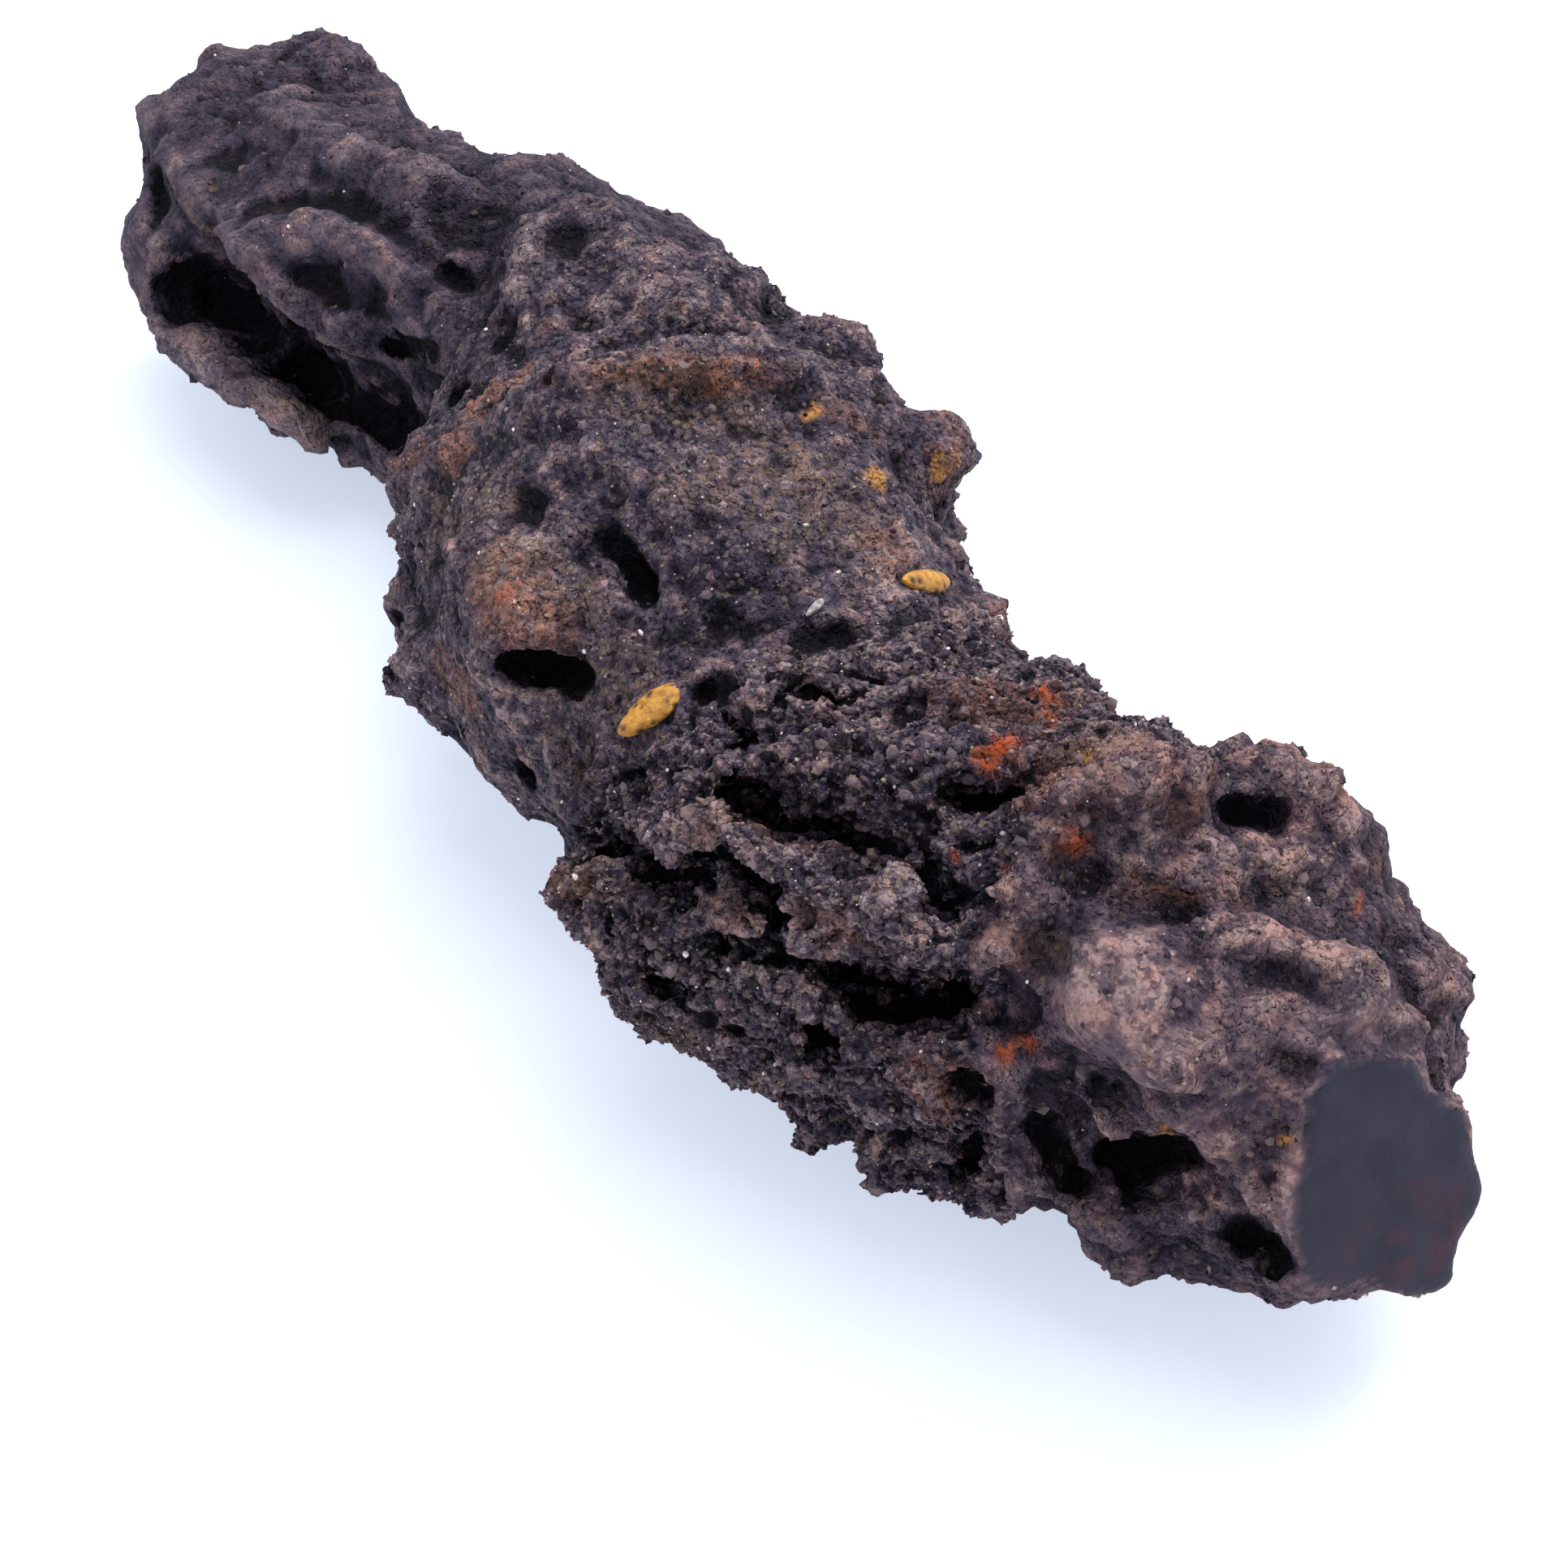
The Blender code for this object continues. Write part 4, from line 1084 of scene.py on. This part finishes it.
def random_turns(count, rng):
    """Rotation matrices, evenly spread."""
    w, x, y, z = rng.normal(size=(4, count))
    size = np.sqrt(w * w + x * x + y * y + z * z)
    w, x, y, z = w / size, x / size, y / size, z / size
    return np.stack((
        1 - 2 * (y * y + z * z), 2 * (x * y - z * w), 2 * (x * z + y * w),
        2 * (x * y + z * w), 1 - 2 * (x * x + z * z), 2 * (y * z - x * w),
        2 * (x * z - y * w), 2 * (y * z + x * w), 1 - 2 * (x * x + y * y)), axis=1).reshape(-1, 3, 3)


def grains(name, skin, weight, rng):
    """Many grains in one mesh, each bedded in the skin and carrying its stains, painted light and shade,
    and a tone of its own.
    """
    count, sizes, out = GRAINS[name]
    corners, faces = grain_shapes(rng)
    where, points, facing = scattered(skin, count, weight, rng)
    size = sizes[0] + (sizes[1] - sizes[0]) * rng.random(count) ** SMALL_FAVOUR
    shape = corners[rng.integers(len(corners), size=count)]
    shape = np.einsum("nij,nkj->nki", random_turns(count, rng), shape) * size[:, None, None]
    points = points + facing * (size * out)[:, None]
    return joined(name, skin, shape + points[:, None], faces, where, rng)


def unit(ways):
    return ways / np.linalg.norm(ways, axis=1)[:, None]


def flakes(skin, weight, rng):
    """Thin chips standing out of the folds, all lying much the same way."""
    corners, faces = grain_shapes(rng)
    where, points, facing = scattered(skin, FLAKES, weight, rng)
    right, up, back = picture_axes()
    lean = math.radians(FLAKE_LEAN)
    thin = up * math.cos(lean) + back * math.sin(lean)
    thin = unit(thin + rng.normal(size=(FLAKES, 3)) * FLAKE_JITTER)
    long = right + rng.normal(size=(FLAKES, 3)) * FLAKE_JITTER
    long = unit(long - np.einsum("ij,ij->i", long, thin)[:, None] * thin)
    turned = np.stack((long, np.cross(thin, long), thin), axis=2)
    size = rng.uniform(*FLAKE_SIZES, size=(FLAKES, 3))
    shape = corners[rng.integers(len(corners), size=FLAKES)] * size[:, None, :]
    points = points - facing * FLAKE_SINK
    shape = np.einsum("nij,nkj->nki", turned, shape)
    return joined("flakes", skin, shape + points[:, None], faces, where, rng)


def joined(name, skin, shapes, faces, where, rng):
    """One mesh of many like bodies, with the stains and painted light and shade of the skin that each lies
    on, and its own tone.
    """
    count, per_grain = shapes.shape[:2]
    verts = kept_in(shapes.reshape(-1, 3))
    all_faces = (faces[None] + np.arange(count)[:, None, None] * per_grain).reshape(-1, 3)
    mesh = bpy.data.meshes.new(name)
    mesh.from_pydata((verts * MM).tolist(), [], all_faces.tolist())
    for layer in CARRIED:
        store(mesh, layer, np.repeat(values_of(skin, layer)[where], per_grain))
    store(mesh, "tone", np.repeat(rng.random(count), per_grain))
    return mesh


class Graph:
    """A material's nodes, laid down one after another."""

    def __init__(self, name):
        self.material = bpy.data.materials.new(name)
        self.material.use_nodes = True
        self.tree = self.material.node_tree
        self.shader = self.tree.nodes["Principled BSDF"]
        place = self.tree.nodes.new("ShaderNodeTexCoord").outputs["Object"]
        self.place = self.node("ShaderNodeVectorMath", {0: place, 1: (1 / MM,) * 3}, operation="MULTIPLY")
        drift = self.node("ShaderNodeTexNoise", {"Vector": self.place, "Scale": 1 / DRIFT_SIZE}, "Color")
        drift = self.node("ShaderNodeVectorMath", {0: drift, 1: (DRIFT,) * 3}, operation="MULTIPLY")
        self.drawn = self.node("ShaderNodeVectorMath", {0: self.place, 1: drift})

    def node(self, kind, inputs, output=0, **settings):
        made = self.tree.nodes.new(kind)
        for key, value in settings.items():
            setattr(made, key, value)
        for key, value in inputs.items():
            self.put(made.inputs[key], value)
        return made.outputs[output]

    def put(self, socket, value):
        if isinstance(value, bpy.types.NodeSocket):
            self.tree.links.new(value, socket)
        else:
            socket.default_value = value

    def attribute(self, name):
        return self.node("ShaderNodeAttribute", {}, "Fac", attribute_name=name)

    def noise(self, size, detail=2.0, roughness=0.55, distortion=0.0):
        return self.node("ShaderNodeTexNoise", {
            "Vector": self.place, "Scale": 1 / size, "Detail": detail,
            "Roughness": roughness, "Distortion": distortion}, "Fac")

    def cells(self, size, output="Distance", place=None):
        return self.node("ShaderNodeTexVoronoi", {"Vector": place or self.place, "Scale": 1 / size}, output)

    def part(self, colour, name):
        return self.node("ShaderNodeSeparateColor", {0: colour}, name)

    def math(self, operation, first, second):
        return self.node("ShaderNodeMath", {0: first, 1: second}, operation=operation)

    def plus(self, first, second):
        return self.math("ADD", first, second)

    def times(self, first, second):
        return self.math("MULTIPLY", first, second)

    def most(self, first, second):
        return self.math("MAXIMUM", first, second)

    def span(self, value, low, high, to_low=0.0, to_high=1.0):
        return self.node("ShaderNodeMapRange", {
            "Value": value, "From Min": low, "From Max": high, "To Min": to_low, "To Max": to_high})

    def between(self, share, low, high):
        """From one value to another as the share goes from 0 to 1."""
        return self.span(share, 0.0, 1.0, low, high)

    def patches(self, noise_settings, counted):
        return self.span(self.noise(*noise_settings), *counted)

    def mix(self, share, first, second, blend="MIX"):
        made = self.tree.nodes.new("ShaderNodeMix")
        made.data_type = "RGBA"
        made.blend_type = blend
        self.put(made.inputs["Factor"], share)
        for end, value in zip([end for end in made.inputs if end.type == "RGBA"], (first, second)):
            self.put(end, value)
        return next(end for end in made.outputs if end.type == "RGBA")

    def tinted(self, share, colour, tint):
        return self.mix(share, colour, tint, "MULTIPLY")

    def ramp(self, value, stops):
        made = self.tree.nodes.new("ShaderNodeValToRGB")
        row = made.color_ramp.elements
        while len(row) < len(stops):
            row.new(0.5)
        for element, (position, colour) in zip(row, stops):
            element.position = position
            element.color = colour
        self.put(made.inputs["Fac"], value)
        return made.outputs["Color"]

    def bump(self, height, distance, below=None):
        inputs = {"Height": height, "Distance": distance * MM, "Strength": 1.0}
        if below is not None:
            inputs["Normal"] = below
        return self.node("ShaderNodeBump", inputs)

    def rippled(self, noise_settings, distance):
        return self.bump(self.noise(*noise_settings), distance)

    def finish(self, **sockets):
        for name, value in sockets.items():
            self.put(self.shader.inputs[name.replace("_", " ")], value)
        return self.material


def graininess(graph):
    """How much the stone's grains show: wholly in the folds, and partly on grit and the near length."""
    grainy = graph.most(graph.attribute("folded"), graph.times(graph.attribute("gritty"), GRIT_GRAINY))
    worn = graph.span(graph.attribute("pale"), *NEAR_GRAINY)
    return graph.most(grainy, graph.times(graph.attribute("near"), worn))


def lightness(graph, grainy, pick):
    """How light the stone is: its grains, clouds and ripples, painted light on crests and shade in hollows,
    and its layers.
    """
    spread = graph.times(graph.between(pick, *EITHER_WAY), graph.between(grainy, *TONE_SPREAD))
    level = graph.plus(spread, graph.patches(*CLOUDS))
    ripple = graph.plus(graph.patches(*RIPPLES), graph.patches(*BROAD_RIPPLES))
    level = graph.plus(level, graph.times(ripple, graph.span(grainy, *RIPPLED)))
    # Painted light and shade: crests lighter, hollows darker; the pale and black layers are partly painted
    # too.
    for layer, amount in LIGHTER.items():
        level = graph.plus(level, graph.times(graph.attribute(layer), amount))
    return level


def stained(graph, colour, layer, where, stain):
    """The colour with a stain on it, where its layer lies and a mask lets it show."""
    return graph.mix(graph.times(graph.attribute(layer), where), colour, stain)


def stone_colour(graph):
    """Dark purple-grey ironstone in grains of many tones, with painted light on its crests and painted
    shade in its hollows, stained in places.
    """
    near = graph.attribute("near")
    grainy = graininess(graph)
    sharp = graph.between(grainy, *COLOUR_SPREAD)
    cell = graph.cells(STONE_GRAIN, "Color", graph.drawn)
    colour = graph.ramp(lightness(graph, grainy, graph.part(cell, "Red")), STONE)
    tint = graph.part(cell, "Green")
    for grains_tinted, shade in ((BROWN_GRAINS, BROWN_TINT), (BLUE_GRAINS, BLUE_TINT)):
        colour = graph.tinted(graph.times(graph.span(tint, *grains_tinted), sharp), colour, shade)
    for share in (graph.patches(*BROWN_CLOUDS), graph.times(near, NEAR_BROWN)):
        colour = graph.tinted(share, colour, BROWN_TINT)
    odd = graph.span(graph.part(cell, "Blue"), *ODD_GRAINS)
    colour = graph.mix(graph.times(odd, graph.between(grainy, *ODD_STRENGTH)), colour, SPECK_COLOUR)
    fine = graph.noise(*FINE_NOISE)
    rust = graph.mix(graph.span(fine, *RUST_FINE), RUST_DARK, RUST_BRIGHT)
    colour = stained(graph, colour, "rust", graph.patches(*RUST_PATCHES), rust)
    ochre = graph.mix(graph.span(fine, *OCHRE_FINE), OCHRE_DARK, OCHRE_BRIGHT)
    colour = stained(graph, colour, "ochre", graph.patches(*OCHRE_PATCHES), ochre)
    for layer, stain in (("ember", EMBER_COLOUR), ("gold", GOLD_COLOUR)):
        colour = stained(graph, colour, layer, graph.span(fine, *SPECK_FINE), stain)
    # Painted shade: sunk skin and the mouths of the hollows turn near black.
    sunk = graph.plus(graph.attribute("crest"), graph.attribute("swell"))
    shaded = graph.times(graph.span(sunk, *SHADED), graph.between(near, *SHADED_LESS_NEAR))
    colour = graph.mix(shaded, colour, PAINTED_HOLLOW_SHADE)
    mouth = graph.times(graph.span(sunk, *MOUTH_SUNK), graph.span(graph.attribute("deep"), *MOUTH_DEEP))
    return graph.mix(mouth, colour, PAINTED_HOLLOW_SHADE)


def tip_colour(graph):
    """The sheared face, blue-grey, faintly mottled, redder at one side."""
    colour = graph.mix(graph.patches(*TIP_CLOUDS), TIP_DARK, TIP_LIGHT)
    return stained(graph, colour, "blush", graph.patches(*BLUSH_PATCHES), TIP_BLUSH)


def sparkle(graph):
    """Cells too small to model that catch the light on open, gritty skin, as a mask."""
    chance = graph.part(graph.cells(GLINT_SIZE, "Color"), "Red")
    chosen = graph.span(chance, 1 - GLINT_SHARE, 1 - GLINT_SHARE + GLINT_FADE)
    glints = graph.times(chosen, graph.span(graph.cells(GLINT_SIZE), *GLINT_CORE))
    sunk = graph.plus(graph.attribute("crest"), graph.attribute("swell"))
    return graph.times(graph.times(glints, graph.attribute("gritty")), graph.span(sunk, *GLINT_OPEN))


def grey(value):
    return (value, value, value, 1.0)


def stone():
    graph = Graph("ironstone")
    tip = graph.attribute("tip")
    glints = sparkle(graph)
    colour = graph.mix(glints, stone_colour(graph), GLINT_COLOUR)
    colour = graph.mix(tip, colour, tip_colour(graph))
    calm = graph.between(graph.attribute("calm"), 1.0, CALM_BUMPS)
    rough = graph.times(graph.between(tip, 1.0, TIP_BUMPS), calm)
    normal = graph.bump(graph.times(graph.noise(*COARSE_NOISE), rough), COARSE_BUMP)
    for size, reach, middle, edge, height in CELL_BUMPS:
        cells = graph.span(graph.cells(size), 0.0, reach, middle, edge)
        normal = graph.bump(graph.times(cells, rough), height, normal)
    roughness = graph.mix(glints, grey(STONE_ROUGHNESS), grey(GLINT_ROUGHNESS))
    roughness = graph.mix(tip, roughness, grey(TIP_ROUGHNESS))
    return graph.finish(
        Base_Color=colour, Roughness=roughness, Normal=normal, Specular_IOR_Level=STONE_SPECULAR)


def crumb():
    """The skin's own stone in loose crumbs, each a little lighter or darker than the next."""
    graph = Graph("crumb")
    tone = graph.attribute("tone")
    shallow = graph.span(graph.attribute("deep"), *CRUMB_SHALLOW)
    pale = graph.times(graph.span(tone, *CRUMB_LIGHT), shallow)
    # The stone's colour brings its painted light on crests and painted shade in hollows with it.
    colour = graph.mix(pale, stone_colour(graph), CRUMB_PALE)
    colour = graph.mix(graph.span(tone, *CRUMB_DARK), colour, BLACK_COLOUR)
    return graph.finish(
        Base_Color=colour, Roughness=CRUMB_ROUGHNESS, Normal=graph.rippled(*CRUMB_BUMPS),
        Specular_IOR_Level=STONE_SPECULAR)


def sand():
    """Quartz grains, from smoky through straw to nearly white."""
    graph = Graph("sand")
    tone = graph.attribute("tone")
    colour = graph.mix(graph.span(tone, *STRAW_TONES), SAND_SMOKY, SAND_STRAW)
    colour = graph.mix(graph.span(tone, *WHITE_TONES), colour, SAND_WHITE)
    rusty = graph.most(graph.attribute("rust"), graph.attribute("ochre"))
    colour = graph.mix(graph.times(rusty, SAND_STAINED), colour, OCHRE_BRIGHT)
    return graph.finish(Base_Color=colour, Roughness=SAND_ROUGHNESS, Normal=graph.rippled(*SAND_BUMPS))


def seed_coat():
    graph = Graph("seed")
    colour = graph.mix(graph.patches(*SEED_STREAKS), SEED_DARK, SEED_BRIGHT)
    colour = graph.mix(graph.attribute("pit"), colour, SEED_PIT)
    return graph.finish(Base_Color=colour, Roughness=SEED_ROUGHNESS, Normal=graph.rippled(*SEED_BUMPS))


def bone():
    graph = Graph("splinter")
    colour = graph.mix(graph.patches(*SPLINTER_STREAKS), SPLINTER_DARK, SPLINTER_PALE)
    return graph.finish(
        Base_Color=colour, Roughness=SPLINTER_ROUGHNESS, Normal=graph.rippled(*SPLINTER_BUMPS))


def lying_bit(name, tree, half_length, half_width, height, middle, toward):
    """A small rounded body, pitted and uneven, lying on the skin and pointing as its pixels say."""
    points, facing = laid_on(tree, (middle, toward))
    up = facing.normalized()
    forward = (points[1] - points[0]).normalized()
    side = up.cross(forward).normalized()
    forward = side.cross(up)
    bm = bmesh.new()
    bmesh.ops.create_icosphere(bm, subdivisions=5, radius=1.0)
    pits = []
    for vert in bm.verts:
        ball = vert.co.copy()
        along = ball.x if ball.x < 0 else ball.x ** BIT_BLUNT
        place = Vector((along * half_length, ball.y * half_width, ball.z * height))
        cell = noise.voronoi(place / PIT_SPACING)[0][0]
        pit = max(0.0, 1 - cell / PIT_WIDTH)
        size = sum((amount * noise.noise(place * often) for amount, often in BIT_BUMPS), 1)
        place.y *= 1 + BIT_WIDER * ball.x
        spread = (forward * place.x + side * place.y) * size
        raised = BIT_LIFT + place.z * size - PIT_DEPTH * pit * max(ball.z, 0)
        vert.co = (points[0] + spread + up * raised) * MM
        pits.append(pit)
    mesh = freed(bm, name)
    store(mesh, "pit", np.clip(np.array(pits) * PIT_DARK, 0, 1))
    mesh.shade_smooth()
    return mesh


def piece(name, mesh, material):
    """Puts a mesh in the scene as part of the object."""
    mesh.materials.clear()
    mesh.materials.append(material)
    obj = linked(name, mesh)
    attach(obj, BODY)
    return obj


def floor():
    mesh = bpy.data.meshes.new("floor")
    half = FLOOR_HALF * MM
    corners = [(x * half, y * half, 0.0) for x, y in ((-1, -1), (1, -1), (1, 1), (-1, 1))]
    mesh.from_pydata(corners, [], [(0, 1, 2, 3)])
    mesh.materials.append(Graph("paper").finish(
        Base_Color=PAPER, Roughness=PAPER_ROUGHNESS, Specular_IOR_Level=0.0,
        Emission_Color=TABLE_GLOW, Emission_Strength=TABLE_STRENGTH))
    linked("floor", mesh)


def aimed(name, data, place, target):
    """A new object at a place, facing a target."""
    obj = linked(name, data)
    obj.location = place * MM
    obj.rotation_mode = "QUATERNION"
    obj.rotation_quaternion = (place - target).to_track_quat("Z", "Y")
    return obj


def soft_light(name, place, size, watts, colour):
    light = bpy.data.lights.new(name, "AREA")
    light.size = size * MM
    light.energy = watts
    light.color = colour
    aimed(name, light, Vector(place), LIT_POINT)


def studio():
    world = bpy.data.worlds.new("studio")
    world.use_nodes = True
    background = world.node_tree.nodes["Background"]
    background.inputs["Color"].default_value = SKY
    background.inputs["Strength"].default_value = SKY_STRENGTH
    bpy.context.scene.world = world
    bpy.context.scene.view_settings.view_transform = "Standard"
    for name, row in LIGHTS.items():
        soft_light(name, *row)


def camera():
    lens = bpy.data.cameras.new("camera")
    lens.angle = math.radians(FIELD_OF_VIEW)
    lens.clip_start = MM
    bpy.context.scene.camera = aimed("camera", lens, CAMERA_AT, CAMERA_TO)


def thickness(mesh):
    """How thickly crumbs, flakes and sand lie on each point of the skin."""
    layers = ("tip", "folded", "calm", "deep", "gritty", "pale", "ochre", "crest", "swell")
    tip, folded, calm, deep, gritty, pale, ochre, crest, swell = (values_of(mesh, name) for name in layers)
    off_tip = 1 - tip
    uneven = calm < TOO_CALM
    shut = ease(deep * SHUT_FAST)
    open_skin = ease(OPEN_FROM + crest + swell)
    crumbs = off_tip * (CRUMBS_PLAIN + CRUMBS_GRITTY * gritty + folded * CRUMBS_FOLDED)
    crumbs *= CRUMBS_MOST - pale - calm * CRUMBS_CALM
    crumbs *= uneven * (1 - CRUMBS_SHUT_OUT * shut)
    leafy = off_tip * folded * open_skin * uneven * (1 - FLAKES_SHUT_OUT * shut)
    leafy *= FLAKES_HIDDEN + FLAKES_SEEN * sight(normals(mesh), FLAKE_SIGHT)
    loose = off_tip * open_skin * (1 - shut) * (SAND_PLAIN + gritty * (SAND_GRITTY + folded))
    loose *= 1 + SAND_OCHRE * ochre
    return crumbs, leafy, loose


def dress():
    noise.seed_set(SEED)
    rng = np.random.default_rng(SEED)
    skin = make_skin(random.Random(SEED))
    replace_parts(piece("coprolite_skin", skin, stone()), NODE)
    crumbs, leafy, loose = thickness(skin)
    for name in ("crumbs", "fine_crumbs"):
        piece(name, grains(name, skin, crumbs, rng), crumb())
    piece("flakes", flakes(skin, leafy, rng), crumb())
    piece("sand", grains("sand", skin, loose, rng), sand())
    tree = skin_tree(skin)
    coat = seed_coat()
    for name, row in SEEDS.items():
        piece(name, lying_bit(name, tree, *row), coat)
    piece("splinter", lying_bit("splinter", tree, *SPLINTER), bone())


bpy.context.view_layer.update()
dress()
floor()
studio()
camera()
